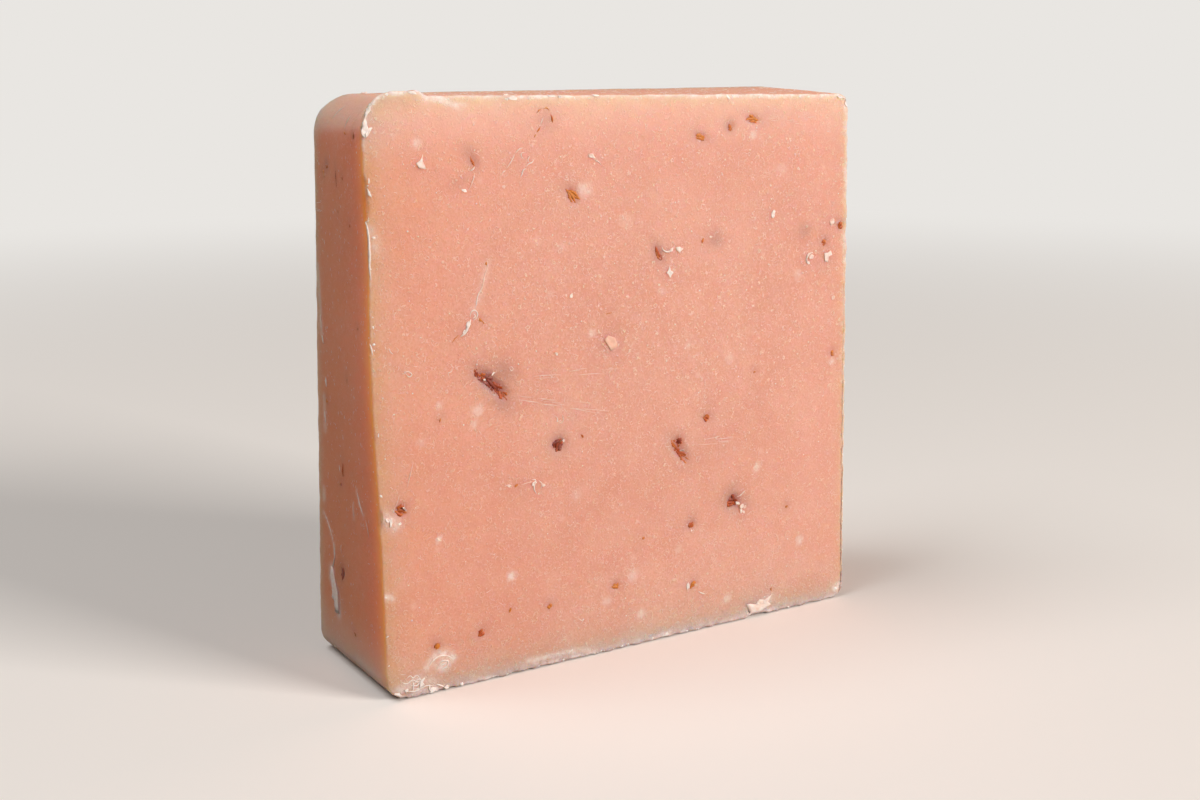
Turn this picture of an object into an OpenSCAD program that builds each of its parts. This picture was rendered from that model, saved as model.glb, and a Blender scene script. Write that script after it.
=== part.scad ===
// Hand-cut bar of soap that stands on its foot, with the freshly cut face to the front.
// X runs along the cut face, Y through the slice and Z up. The foot is centred on the origin.

/* [Slice] */
// Width of the cut face along its foot
foot_w = 70; // [60:0.5:80]
// Height of the cut face at its left end
bar_h = 70.4; // [60:0.1:80]
// Thickness of the slice at its foot
foot_t = 21.5; // [18:0.1:26]
// Thickness of the slice at its top, where the knife ran in
top_t = 16.9; // [14:0.1:20]

/* [Knife angles] */
// How far the front face leans back over its height
front_lean = 0.4; // [0:0.1:1]
// How far the front left edge leans out over its height
left_out = 0.5; // [0:0.05:1]
// How far the back left edge leans in over its height
left_in = 0.65; // [0:0.05:1]
// How far the right side leans in over its height
right_in = 1.1; // [0:0.1:2]
// How far the top front edge falls from left to right
top_fall = 0.7; // [0:0.05:1.5]
// How far the top's right end rises from front to back
top_rise = 0.8; // [0:0.05:1.5]

/* [Corners] */
// Radius of the top left corner at the front
top_left_front_r = 4.3; // [2:0.1:6]
// Radius of the top left corner at the back
top_left_back_r = 5; // [2:0.1:7]
// Radius of the top right corner
top_right_r = 2.2; // [1.5:0.1:5]
// Radius of the left corner of the foot
foot_left_r = 2.7; // [1.5:0.1:5]
// Radius of the right corner of the foot
foot_right_r = 2; // [1.5:0.1:5]
// Worn edge all round both cut faces
edge_break = 0.3; // [0.1:0.05:0.8]
// Broader worn edge down the right of the front face
right_break = 0.8; // [0.3:0.05:1.2]

/* [Smeared lip] */
// Length of the lip that the knife drew up over the top front edge, from the left corner
lip_l = 7; // [6.5:0.1:12]
// How far the lip stands above the top
lip_h = 0.6; // [0.2:0.05:0.8]
// How far the lip reaches back over the top
lip_d = 1.8; // [1:0.1:4]
// Radius of the lip's right end
lip_end_r = 1.5; // [1:0.1:2]

/* [Worn places] */
// Length of the long hollow in the upper left edge
hollow_l = 6.5; // [2:0.1:12]
// Depth of that hollow
hollow_d = 0.4; // [0.1:0.05:0.8]
// Distance of its middle below the top
hollow_drop = 11.4; // [9:0.1:20]
// Length of the nick in the lower left edge
nick_l = 3.4; // [1:0.1:6]
// Depth of that nick
nick_d = 0.45; // [0.1:0.05:0.8]
// Height of its middle above the foot
nick_z = 22.5; // [10:0.5:38]
// Length of the chip out of the front edge of the foot
foot_chip_l = 4.6; // [2:0.1:8]
// Depth of that chip
foot_chip_d = 0.5; // [0.2:0.05:0.8]
// Distance of its middle from the right end
foot_chip_in = 15.4; // [8:0.1:30]
// Width of the chip out of the right corner of the foot
end_chip_w = 2.6; // [1:0.1:4]
// Depth of that chip
end_chip_d = 0.4; // [0.1:0.05:0.6]
// Length of the scratch down the back of the left side
scratch_l = 12.6; // [6:0.1:18]
// Width of that scratch
scratch_w = 1; // [0.4:0.1:1.6]
// Depth of that scratch
scratch_d = 0.15; // [0.05:0.05:0.4]
// Distance of its upper end in from the back of the foot
scratch_in = 3.3; // [2:0.1:8]
// Height of its upper end above the foot
scratch_z = 19; // [19:0.5:40]
// How far it slants forward on its way down, in degrees
scratch_slant = 17; // [0:1:30]

/* [Petal pits] */
// Depth of the pits that the knife left where it dragged petals
pit_d = 0.35; // [0.1:0.05:0.8]
// Width of the longest pit
pit_w = 3.2; // [1.5:0.1:5]

/* [Hidden] */

// Thickness of the outlines that the slice is stretched between, and what the foot loses to lie flat
skin = 0.02;
foot_trim = 0.05;
curve_fn = 48;

// Pits in the front face: across from the left end, up from the foot, and width as a share of pit_w
PITS = [
    [15, 36.7, 1],
    [23.8, 28.5, 0.55],
    [41.7, 25.3, 0.75],
    [50.9, 16.3, 0.8],
    [53, bar_h - 3.7, 0.6]
];
// Small chips along the front of the foot: distance from the right end, length and depth
FOOT_CHIPS = [
    [foot_chip_in, foot_chip_l, foot_chip_d],
    [30.7, 2, 0.3],
    [21.6, 1.6, 0.25],
    [2.9, 1.5, 0.35]
];
// Worn places down the left edge: height of the middle, length and depth
LEFT_WEAR = [
    [bar_h - hollow_drop, hollow_l, hollow_d],
    [nick_z, nick_l, nick_d],
    [7, 2.6, 0.25]
];

front_tilt = atan(front_lean / bar_h);
back_tilt = atan((foot_t - top_t - front_lean) / bar_h);
mid_x = (foot_w - left_out) / 2;
mid_y = max(foot_t, front_lean + top_t) / 2;

// Front face's place at a height, and left side's place at a depth and a height
function front_y(z) = front_lean * z / bar_h;
function left_x(y, z) = (left_in * y / foot_t - left_out * (1 - y / foot_t)) * z / bar_h;

// Radius of the ball that presses a dish of a given width and depth
function dish_r(width, depth) = (width * width / 4 + depth * depth) / (2 * depth);

// Ball that presses a dish into a face or an edge at a place, from the way that it faces
module dish_cutter(place, out, width, depth) {
    r = dish_r(width, depth);
    translate(place + out * (r - depth) / norm(out))
        sphere(r = r, $fn = 4 * curve_fn);
}

// One round of a cut face's outline, standing in the XZ plane
module outline_disc(across, up, r, depth) {
    translate([across, depth, up])
        rotate([90, 0, 0])
            cylinder(r = r, h = skin, center = true, $fn = curve_fn);
}

// The four rounded corners of one cut face, pulled in by its worn edge
module face_outline(depth, inset, right_inset, top_left_x, rise, top_left_r) {
    right_x = foot_w - right_inset;
    outline_disc(foot_left_r, foot_left_r, foot_left_r - inset, depth);
    outline_disc(right_x - foot_right_r, foot_right_r, foot_right_r - inset, depth);
    outline_disc(right_x - right_in - top_right_r, bar_h - top_fall + rise - top_right_r, top_right_r - inset, depth);
    outline_disc(top_left_x + top_left_r, bar_h - top_left_r, top_left_r - inset, depth);
}

module front_outline() {
    rotate([-front_tilt, 0, 0]) {
        face_outline(skin / 2, edge_break, right_break - edge_break, -left_out, 0, top_left_front_r);
        face_outline(edge_break, 0, 0, -left_out, 0, top_left_front_r);
    }
}

module back_outline() {
    translate([0, foot_t, 0])
        rotate([back_tilt, 0, 0]) {
            face_outline(-skin / 2, edge_break, 0, left_in, top_rise, top_left_back_r);
            face_outline(-edge_break, 0, 0, left_in, top_rise, top_left_back_r);
        }
}

// The slice as the knife left it: stretched from the front outline to the back one, flat at its foot
module slice() {
    difference() {
        translate([0, 0, -foot_trim])
            hull() {
                front_outline();
                back_outline();
            }
        translate([-foot_w / 2, -foot_t, -foot_t])
            cube([2 * foot_w, 3 * foot_t, foot_t]);
    }
}

// Two rounds of the lip's outline, at the left corner and at the lip's end
module lip_outline(depth, inset) {
    lip_z = bar_h + lip_h;
    outline_disc(top_left_front_r - left_out, lip_z - top_left_front_r, top_left_front_r - inset, depth);
    outline_disc(lip_l - lip_end_r, lip_z - lip_end_r, lip_end_r - inset, depth);
}

// Soap that the knife drew up over the top front edge, dying away towards the back
module lip() {
    translate([0, 0, -foot_trim])
        rotate([-front_tilt, 0, 0])
            hull() {
                lip_outline(skin / 2, edge_break);
                lip_outline(edge_break, 0);
                lip_outline(lip_d, lip_h + edge_break);
            }
}

module edge_wear() {
    for (w = LEFT_WEAR)
        dish_cutter([left_x(0, w.x), front_y(w.x), w.x], [-1, -1, 0], w.y, w.z);
    for (c = FOOT_CHIPS)
        dish_cutter([foot_w - c.x, 0, 0], [0, -1, -1], c.y, c.z);
    corner_gap = foot_right_r * (1 - cos(45));
    dish_cutter([foot_w - corner_gap, 0, corner_gap], [1, -1, -1], end_chip_w, end_chip_d);
}

// Shallow scratch rubbed down the back of the left side
module side_scratch() {
    r = dish_r(scratch_w, scratch_d);
    top_y = foot_t - scratch_in;
    translate([left_x(top_y, scratch_z - scratch_l / 2) - r + scratch_d, top_y, scratch_z])
        rotate([180 - scratch_slant, 0, 0])
            cylinder(r = r, h = scratch_l, $fn = curve_fn);
}

module petal_pits() {
    for (p = PITS)
        dish_cutter([p.x, front_y(p.y), p.y], [0, -1, 0], p.z * pit_w, pit_d);
}

module soap_bar() {
    color("#e8a58b")
        translate([-mid_x, -mid_y, 0])
            difference() {
                union() {
                    slice();
                    lip();
                }
                edge_wear();
                side_scratch();
                petal_pits();
            }
}

soap_bar();
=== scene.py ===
"""Looks of a hand-cut bar of cold-process soap that stands on its narrow foot.

Sizes are millimetres from the foot's front left corner: X along the cut face, Y to the back, Z up.
"""

import itertools
import logging
import math
from dataclasses import dataclass, field
from enum import Enum

import bpy
import numpy as np
from mathutils import Matrix, Vector
from mathutils.bvhtree import BVHTree


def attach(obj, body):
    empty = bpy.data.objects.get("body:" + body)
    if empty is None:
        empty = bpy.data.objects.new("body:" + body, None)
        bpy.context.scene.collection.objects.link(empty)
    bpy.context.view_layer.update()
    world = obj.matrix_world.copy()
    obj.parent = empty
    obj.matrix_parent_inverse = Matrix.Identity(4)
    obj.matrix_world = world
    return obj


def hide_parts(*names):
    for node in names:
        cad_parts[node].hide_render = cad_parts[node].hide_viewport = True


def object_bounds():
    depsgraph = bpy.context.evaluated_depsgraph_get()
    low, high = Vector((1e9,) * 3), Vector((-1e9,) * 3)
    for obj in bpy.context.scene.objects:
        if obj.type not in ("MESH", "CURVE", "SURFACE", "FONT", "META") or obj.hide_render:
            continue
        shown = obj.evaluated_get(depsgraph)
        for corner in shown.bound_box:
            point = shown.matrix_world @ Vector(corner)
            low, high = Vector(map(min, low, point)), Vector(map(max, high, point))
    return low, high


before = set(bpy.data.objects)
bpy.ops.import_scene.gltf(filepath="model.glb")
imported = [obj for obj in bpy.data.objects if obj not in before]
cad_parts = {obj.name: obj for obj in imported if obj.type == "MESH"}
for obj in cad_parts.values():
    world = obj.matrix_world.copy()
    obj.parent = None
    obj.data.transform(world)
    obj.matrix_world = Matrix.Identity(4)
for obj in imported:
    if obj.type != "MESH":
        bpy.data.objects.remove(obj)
cad_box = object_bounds()

Array = np.ndarray
Socket = bpy.types.NodeSocket
Tree = bpy.types.NodeTree

MM = 0.001
CAD_NODE = "soap_bar"
BODY = "root"
LOG = logging.getLogger("soap")


class Face(Enum):
    """Sides of the bar that marks lie on, by the way that each one faces."""

    FRONT = (0, -1, 0)
    BACK = (0, 1, 0)
    LEFT = (-1, 0, 0)
    RIGHT = (1, 0, 0)
    TOP = (0, 0, 1)


class Tone(Enum):
    """How far a dried petal has browned."""

    DARK = 0.0
    RUST = 0.5
    AMBER = 1.0


def linear(colour: str) -> tuple[float, float, float, float]:
    """Turns an sRGB hex colour into linear RGBA.

    Args:
        colour: the colour as "#RRGGBB".

    Returns:
        The linear colour, opaque.
    """
    parts = [int(colour[i : i + 2], 16) / 255 for i in (1, 3, 5)]
    red, green, blue = (c / 12.92 if c <= 0.04045 else ((c + 0.055) / 1.055) ** 2.4 for c in parts)
    return red, green, blue, 1.0


def add_node(tree: Tree, kind: str, sockets: dict | None = None, **settings: object) -> bpy.types.Node:
    """Adds one node with its settings, values and links.

    Args:
        tree: the node tree that it goes into.
        kind: Blender's name for the kind of node.
        sockets: a value or another node's output for each input, by name or place.
        settings: the node's own properties.

    Returns:
        The new node.
    """
    node = tree.nodes.new(kind)
    for name, value in settings.items():
        setattr(node, name, value)
    for key, value in (sockets or {}).items():
        if isinstance(value, Socket):
            tree.links.new(value, node.inputs[key])
        else:
            node.inputs[key].default_value = value
    return node


def bare_material(name: str) -> tuple[bpy.types.Material, Tree]:
    """Makes a material that has no nodes yet.

    Args:
        name: its name.

    Returns:
        The material, and its node tree.
    """
    made = bpy.data.materials.new(name)
    made.use_nodes = True
    made.node_tree.nodes.clear()
    return made, made.node_tree


def put(name: str, data: bpy.types.ID) -> bpy.types.Object:
    """Puts a new object into the scene.

    Args:
        name: its name.
        data: its mesh, light or camera.

    Returns:
        The object.
    """
    made = bpy.data.objects.new(name, data)
    bpy.context.scene.collection.objects.link(made)
    return made


def unit(vector: Array) -> Array:
    """Vectors scaled to a length of one."""
    return vector / np.maximum(np.linalg.norm(vector, axis=-1, keepdims=True), 1e-9)


def fade(value: Array, low: float, high: float) -> Array:
    """Smooth step from 0 at low to 1 at high."""
    t = np.clip((value - low) / (high - low), 0, 1)
    return t * t * (3 - 2 * t)


class Grain:
    """Smooth seeded noise in space, for the waves and crumbs that a blade leaves in soap."""

    CELLS = 256

    def __init__(self, seed: int) -> None:
        """Draws the noise's slopes.

        Args:
            seed: which noise.
        """
        rng = np.random.default_rng(seed)
        self._order = rng.permutation(self.CELLS)
        self._slopes = unit(rng.normal(size=(self.CELLS, 3)))

    def at(self, points: Array, size: float) -> Array:
        """Noise of about -1 to 1.

        Args:
            points: places in millimetres, one in a row.
            size: width of one wave in millimetres.

        Returns:
            One value for each place.
        """
        cells = points / size
        base = np.floor(cells).astype(int)
        inside = cells - base
        soft = inside**3 * (inside * (inside * 6 - 15) + 10)
        total = np.zeros(len(points))
        for corner in itertools.product((0, 1), repeat=3):
            key = base + corner
            slot = self._order[key[:, 0] % self.CELLS]
            slot = self._order[(slot + key[:, 1]) % self.CELLS]
            slot = self._order[(slot + key[:, 2]) % self.CELLS]
            weight = np.prod(np.where(corner, soft, 1 - soft), axis=1)
            total += weight * (self._slopes[slot] * (inside - corner)).sum(1)
        return 1.8 * total

    def fine(self, points: Array, size: float, layers: int) -> Array:
        """Noise with finer noise on it, each layer half as wide and half as strong."""
        return sum(self.at(points, size / 2**i) / 2**i for i in range(layers)) / 1.5


@dataclass
class Shape:
    """One closed mesh in the making, in millimetres."""

    points: list[Array] = field(default_factory=list)
    faces: list[tuple[int, ...]] = field(default_factory=list)
    marks: dict[str, list[Array]] = field(default_factory=dict)

    def add(self, points: Array, faces: Array, **marks: float) -> None:
        """Adds a closed part.

        Args:
            points: its corners.
            faces: indices of each face's corners.
            marks: a value for each named mark, the same all over the part.
        """
        start = sum(len(p) for p in self.points)
        self.points.append(points)
        self.faces += [tuple(int(i) + start for i in f) for f in faces]
        for name, value in marks.items():
            self.marks.setdefault(name, []).append(np.broadcast_to(value, len(points)))

    def piece(
        self, name: str, finish: bpy.types.Material, *, box: tuple, shift: Array
    ) -> bpy.types.Object:
        """Makes the Blender object, inside the part's box.

        Args:
            name: the piece's name.
            finish: its material.
            box: the part's lowest and highest corner in metres.
            shift: what takes the foot's corner to the row frame's origin, in millimetres.

        Returns:
            The piece, riding on the part's body.
        """
        points = (np.concatenate(self.points) + shift) * MM
        # Clear of the box on every side but the foot, which stands on the floor
        margin = 0.002 * MM
        points = np.clip(points, np.array(box[0]) + margin * np.array([1, 1, 0]), np.array(box[1]) - margin)
        mesh = bpy.data.meshes.new(name)
        mesh.from_pydata(points.tolist(), [], self.faces)
        mesh.shade_smooth()
        for mark, values in self.marks.items():
            layer = mesh.attributes.new(mark, "FLOAT", "POINT")
            layer.data.foreach_set("value", np.concatenate(values).astype(np.float32))
        mesh.materials.append(finish)
        mesh.validate()
        made = put(name, mesh)
        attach(made, BODY)
        return made


@dataclass(frozen=True)
class CuredSoap:
    """Cold-process soap, poured in a block, cut by hand and cured.

    Oils and lye set to a waxy body that light enters for a few millimetres, so edges glow. The blade leaves
    fine pale curls of curd, white crumbs along each edge, and a stain round each petal. Painted into the
    colour are a warm tint by the front's left edge, an orange glow and deeper shade on the left side and
    top, and pale light on the top band, the rounded corner and the left side's back rim.
    """

    name: str = "cold_process_soap_hand_cut"
    deep: str = "#E29E87"
    middle: str = "#EAAC96"
    pale: str = "#F2BCA9"
    curd: str = "#FBDACB"
    bloom: str = "#FDEEE6"
    stain: str = "#9C6A60"
    # Painted light: a warm tint where light comes through by the front's left edge
    painted_edge_light: str = "#EE9C64"
    coral: str = "#E8906C"
    # Painted glow and painted shade: the deeper orange of the shaded left side and of the top face
    painted_glow_and_shade: str = "#E87A2C"
    # Painted glow: an orange strip down the left side beside the front edge
    painted_edge_glow: str = "#FFA456"
    # Painted light on the front's top band, the rounded top left corner and the left side's back rim; also
    # the colour of the left side's pale foot and bared scuffs
    painted_pale_light_and_scuffs: str = "#FBD0BC"
    speck: str = "#A8522C"
    roughness: float = 0.58
    ior: float = 1.46
    scatter_mm: tuple[float, float, float] = (11.0, 5.2, 1.9)
    scatter_share: float = 0.88
    batch_mm: float = 16.0
    clot_mm: float = 3.0
    # Real curls of curd are about 0.05 mm wide, and these are drawn at about 0.1 mm so that they show
    curls_mm: tuple[float, float, float] = (1.3, 0.9, 0.6)
    curl_half_mm: float = 0.026
    crumb_mm: float = 0.7
    grain_mm: float = 0.24
    relief_mm: float = 0.08

    def material(self) -> bpy.types.Material:
        """Makes the material.

        Returns:
            The finished material.
        """
        made, tree = bare_material(self.name)
        place = add_node(tree, "ShaderNodeTexCoord").outputs["Object"]
        place = add_node(
            tree, "ShaderNodeVectorMath", {0: place, "Scale": 1 / MM}, operation="SCALE"
        ).outputs["Vector"]
        curls = self._curls(tree, place)
        dots = self._spots(tree, place, cell_mm=1.25, kept=0.6, width=0.11, soft=0.4)
        colour = self._colour(tree, place, curls, dots)
        rough = add_node(
            tree, "ShaderNodeTexNoise", {"Vector": place, "Scale": 1 / self.clot_mm, "Detail": 3.0}
        ).outputs["Fac"]
        rough = add_node(
            tree,
            "ShaderNodeMapRange",
            {0: rough, 1: 0.3, 2: 0.7, 3: self.roughness - 0.06, 4: self.roughness + 0.08},
        ).outputs[0]
        shader = add_node(
            tree,
            "ShaderNodeBsdfPrincipled",
            {
                "Base Color": colour,
                "Roughness": rough,
                "IOR": self.ior,
                "Subsurface Weight": self._scatter(tree),
                "Subsurface Radius": self.scatter_mm,
                "Subsurface Scale": MM,
                "Normal": self._relief(tree, place, curls, dots),
            },
        )
        add_node(tree, "ShaderNodeOutputMaterial", {"Surface": shader.outputs["BSDF"]})
        return made

    def _curls(self, tree: Tree, place: Socket) -> Socket:
        """Short fine arcs, each bent round its own point, where the blade teased out curd.

        Args:
            tree: the material's nodes.
            place: the place on the bar in millimetres.

        Returns:
            1 on a curl and 0 off it.
        """
        most = None
        sway_mm, apart_mm = 0.5, (7.3, 3.1, 5.7)
        bend = add_node(
            tree, "ShaderNodeTexNoise", {"Vector": place, "Scale": 1 / sway_mm, "Detail": 1.0}
        ).outputs["Color"]
        for i, size in enumerate(self.curls_mm):
            moved = add_node(
                tree,
                "ShaderNodeVectorMath",
                {0: bend, 1: (0.5 * size,) * 3, 2: place},
                operation="MULTIPLY_ADD",
            ).outputs[0]
            moved = add_node(
                tree, "ShaderNodeVectorMath", {0: moved, 1: tuple(i * a for a in apart_mm)}, operation="ADD"
            ).outputs[0]
            cells = add_node(tree, "ShaderNodeTexVoronoi", {"Vector": moved, "Scale": 1 / size})
            draw = add_node(tree, "ShaderNodeSeparateColor", {0: cells.outputs["Color"]})
            radius = add_node(tree, "ShaderNodeMapRange", {0: draw.outputs[0], 3: 0.1, 4: 0.4}).outputs[0]
            off = add_node(
                tree, "ShaderNodeMath", {0: cells.outputs["Distance"], 1: radius}, operation="SUBTRACT"
            ).outputs[0]
            off = add_node(tree, "ShaderNodeMath", {0: off}, operation="ABSOLUTE").outputs[0]
            core, rim = 0.8 * self.curl_half_mm / size, 1.9 * self.curl_half_mm / size
            line = add_node(tree, "ShaderNodeMapRange", {0: off, 1: core, 2: rim, 3: 1.0, 4: 0.0}).outputs[0]
            broken = add_node(
                tree, "ShaderNodeTexNoise", {"Vector": moved, "Scale": 1.6 / size, "Detail": 1.0}
            ).outputs["Fac"]
            broken = add_node(tree, "ShaderNodeMapRange", {0: broken, 1: 0.45, 2: 0.52}).outputs[0]
            clear = add_node(tree, "ShaderNodeMapRange", {0: draw.outputs[1], 1: -0.2, 2: 0.8}).outputs[0]
            drawn = add_node(tree, "ShaderNodeMath", {0: line, 1: broken}, operation="MULTIPLY").outputs[0]
            drawn = add_node(tree, "ShaderNodeMath", {0: drawn, 1: clear}, operation="MULTIPLY").outputs[0]
            most = drawn if most is None else add_node(
                tree, "ShaderNodeMath", {0: most, 1: drawn}, operation="MAXIMUM"
            ).outputs[0]
        return most

    @staticmethod
    def _spots(
        tree: Tree, place: Socket, *, cell_mm: float, kept: float, width: float, soft: float
    ) -> Socket:
        """Round spots scattered one to a cell, some of them missing.

        Args:
            tree: the material's nodes.
            place: the place on the bar in millimetres.
            cell_mm: width of one cell.
            kept: share of the cells that have a spot.
            width: half width of the largest spot, as a share of its cell.
            soft: share of a spot that fades out.

        Returns:
            1 on a spot and 0 off it.
        """
        cells = add_node(tree, "ShaderNodeTexVoronoi", {"Vector": place, "Scale": 1 / cell_mm})
        draw = add_node(tree, "ShaderNodeSeparateColor", {0: cells.outputs["Color"]})
        reach = add_node(
            tree, "ShaderNodeMapRange", {0: draw.outputs[0], 1: 1 - kept, 2: 1.0, 3: 0.0, 4: width}
        ).outputs[0]
        inner = add_node(tree, "ShaderNodeMath", {0: reach, 1: 1 - soft}, operation="MULTIPLY").outputs[0]
        outer = add_node(tree, "ShaderNodeMath", {0: reach, 1: 0.001}, operation="ADD").outputs[0]
        return add_node(
            tree,
            "ShaderNodeMapRange",
            {0: cells.outputs["Distance"], 1: inner, 2: outer, 3: 1.0, 4: 0.0},
        ).outputs[0]

    def _colour(self, tree: Tree, place: Socket, curls: Socket, dots: Socket) -> Socket:
        """Colour of the soap with all that shows in it.

        Args:
            tree: the material's nodes.
            place: the place on the bar in millimetres.
            curls: where the curls are.
            dots: where the white grains are.

        Returns:
            The colour.
        """
        batch, clots, crumbs, fine = (
            add_node(
                tree,
                "ShaderNodeTexNoise",
                {"Vector": place, "Scale": 1 / size, "Detail": detail, "Roughness": rough},
            ).outputs["Fac"]
            for size, detail, rough in (
                (self.batch_mm, 4.0, 0.5),
                (self.clot_mm, 3.0, 0.62),
                (self.crumb_mm, 4.0, 0.7),
                (self.grain_mm, 2.0, 0.5),
            )
        )
        # Tints that lie in the soap, all but coral being painted light, glow and shade, and marks that lie
        # on it: greatest share, colour and raggedness
        below = {
            "coral": (0.2, self.coral, 0.0),
            "painted_edge_light": (0.65, self.painted_edge_light, 0.0),
            "painted_glow_and_shade": (0.7, self.painted_glow_and_shade, 0.0),
            "painted_edge_glow": (0.85, self.painted_edge_glow, 0.0),
            "painted_pale_light_and_scuffs": (0.6, self.painted_pale_light_and_scuffs, 0.0),
        }
        above = {
            "bared": (0.5, self.bloom, 0.3),
            "stain": (0.7, self.stain, 0.1),
            "chalk": (0.85, self.bloom, 0.7),
            "rim": (0.9, self.bloom, 0.9),
        }
        clumps = self._spots(tree, place, cell_mm=3.4, kept=0.55, width=0.2, soft=0.9)
        specks = self._spots(tree, place, cell_mm=5.5, kept=0.3, width=0.035, soft=0.5)
        colour = linear(self.deep)
        for noise, low, high, most, tint in (
            (batch, 0.35, 0.65, 1.0, self.middle),
            (clots, 0.42, 0.8, 0.6, self.pale),
            (fine, 0.52, 0.3, 0.65, self.deep),
            (fine, 0.5, 0.72, 0.65, self.pale),
        ):
            share = add_node(tree, "ShaderNodeMapRange", {0: noise, 1: low, 2: high, 4: most}).outputs[0]
            colour = self._tinted(tree, colour, share, tint)
        curdy = add_node(tree, "ShaderNodeAttribute", attribute_name="curdy").outputs["Fac"]
        curls = add_node(tree, "ShaderNodeMath", {0: curls, 1: curdy}, operation="MULTIPLY").outputs[0]
        for drawn, most, tint in (
            (clumps, 0.45, self.curd),
            (curls, 1.0, self.curd),
            (specks, 0.7, self.speck),
        ):
            share = add_node(tree, "ShaderNodeMath", {0: drawn, 1: most}, operation="MULTIPLY").outputs[0]
            colour = self._tinted(tree, colour, share, tint)
        colour = self._marked(tree, colour, crumbs, below)
        colour = self._tinted(tree, colour, dots, self.bloom)
        return self._marked(tree, colour, crumbs, above)

    def _marked(self, tree: Tree, colour: Socket, crumbs: Socket, shares: dict) -> Socket:
        """Lays tints over the soap where the mesh's marks say.

        Args:
            tree: the material's nodes.
            colour: the soap's colour below them.
            crumbs: noise that breaks up the edges of a mark.
            shares: the greatest share, tint and raggedness by mark.

        Returns:
            The colour.
        """
        for mark, (most, tint, ragged) in shares.items():
            share = add_node(tree, "ShaderNodeAttribute", attribute_name=mark).outputs["Fac"]
            if ragged:
                uneven = add_node(
                    tree, "ShaderNodeMapRange", {0: crumbs, 1: 0.3, 2: 0.7, 3: -ragged, 4: ragged}
                ).outputs[0]
                spread = add_node(
                    tree, "ShaderNodeMath", {0: share, 1: uneven}, operation="MULTIPLY"
                ).outputs[0]
                share = add_node(tree, "ShaderNodeMath", {0: share, 1: spread}, operation="ADD").outputs[0]
            share = add_node(tree, "ShaderNodeMapRange", {0: share, 1: 0.0, 2: 1.0, 4: most}).outputs[0]
            colour = self._tinted(tree, colour, share, tint)
        return colour

    def _scatter(self, tree: Tree) -> Socket:
        """Share of the light that enters: less where crumbs have dried to chalk.

        Args:
            tree: the material's nodes.

        Returns:
            The share.
        """
        share = 1.0
        for mark in ("chalk", "rim"):
            dry = add_node(tree, "ShaderNodeAttribute", attribute_name=mark).outputs["Fac"]
            share = add_node(
                tree, "ShaderNodeMath", {0: share, 1: dry}, operation="SUBTRACT", use_clamp=True
            ).outputs[0]
        return add_node(
            tree, "ShaderNodeMath", {0: share, 1: self.scatter_share}, operation="MULTIPLY"
        ).outputs[0]

    @staticmethod
    def _tinted(tree: Tree, colour: object, share: Socket, tint: str) -> Socket:
        """Lays a tint over the soap by a share."""
        layers = {0: share, 6: colour, 7: linear(tint)}
        return add_node(tree, "ShaderNodeMix", layers, data_type="RGBA").outputs[2]

    def _relief(self, tree: Tree, place: Socket, curls: Socket, dots: Socket) -> Socket:
        """Normals of the curls, grains and fine drag of the cut.

        Args:
            tree: the material's nodes.
            place: the place on the bar in millimetres.
            curls: where the curls are.
            dots: where the white grains are.

        Returns:
            The normals.
        """
        height = add_node(tree, "ShaderNodeMath", {0: curls, 1: dots}, operation="ADD").outputs[0]
        for size, detail, rough, most in ((self.grain_mm, 3.0, 0.6, 0.7), (2.0, 4.0, 0.5, 1.6)):
            noise = add_node(
                tree,
                "ShaderNodeTexNoise",
                {"Vector": place, "Scale": 1 / size, "Detail": detail, "Roughness": rough},
            ).outputs["Fac"]
            height = add_node(
                tree, "ShaderNodeMath", {0: noise, 1: most, 2: height}, operation="MULTIPLY_ADD"
            ).outputs[0]
        return add_node(
            tree, "ShaderNodeBump", {"Strength": 1.0, "Distance": self.relief_mm * MM, "Height": height}
        ).outputs["Normal"]


@dataclass(frozen=True)
class SoapShaving:
    """Thin curls and flakes of the same soap. They hold more air than the body, so they look white; the few
    laid on the petals are painted highlights.
    """

    name: str = "dry_soap_shaving"
    thin: str = "#F3BBA2"
    white: str = "#FFF0E8"
    roughness: float = 0.5
    ior: float = 1.46

    def material(self) -> bpy.types.Material:
        """Makes the material.

        Returns:
            The finished material.
        """
        made, tree = bare_material(self.name)
        place = add_node(tree, "ShaderNodeTexCoord").outputs["Object"]
        grain = add_node(
            tree, "ShaderNodeTexNoise", {"Vector": place, "Scale": 1 / (0.5 * MM), "Detail": 3.0}
        ).outputs["Fac"]
        white = add_node(tree, "ShaderNodeAttribute", attribute_name="tone").outputs["Fac"]
        share = add_node(tree, "ShaderNodeMapRange", {0: grain, 1: 0.3, 2: 0.7, 3: -0.3, 4: 0.3}).outputs[0]
        share = add_node(
            tree, "ShaderNodeMath", {0: share, 1: white}, operation="ADD", use_clamp=True
        ).outputs[0]
        colour = add_node(
            tree, "ShaderNodeMix", {0: share, 6: linear(self.thin), 7: linear(self.white)}, data_type="RGBA"
        ).outputs[2]
        bump = add_node(
            tree, "ShaderNodeBump", {"Strength": 0.6, "Distance": 0.03 * MM, "Height": grain}
        ).outputs["Normal"]
        shader = add_node(
            tree,
            "ShaderNodeBsdfPrincipled",
            {
                "Base Color": colour,
                "Roughness": self.roughness,
                "IOR": self.ior,
                "Subsurface Weight": 0.25,
                "Subsurface Radius": (1.0, 0.6, 0.4),
                "Subsurface Scale": 0.3 * MM,
                "Normal": bump,
            },
        )
        add_node(tree, "ShaderNodeOutputMaterial", {"Surface": shader.outputs["BSDF"]})
        return made


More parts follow.
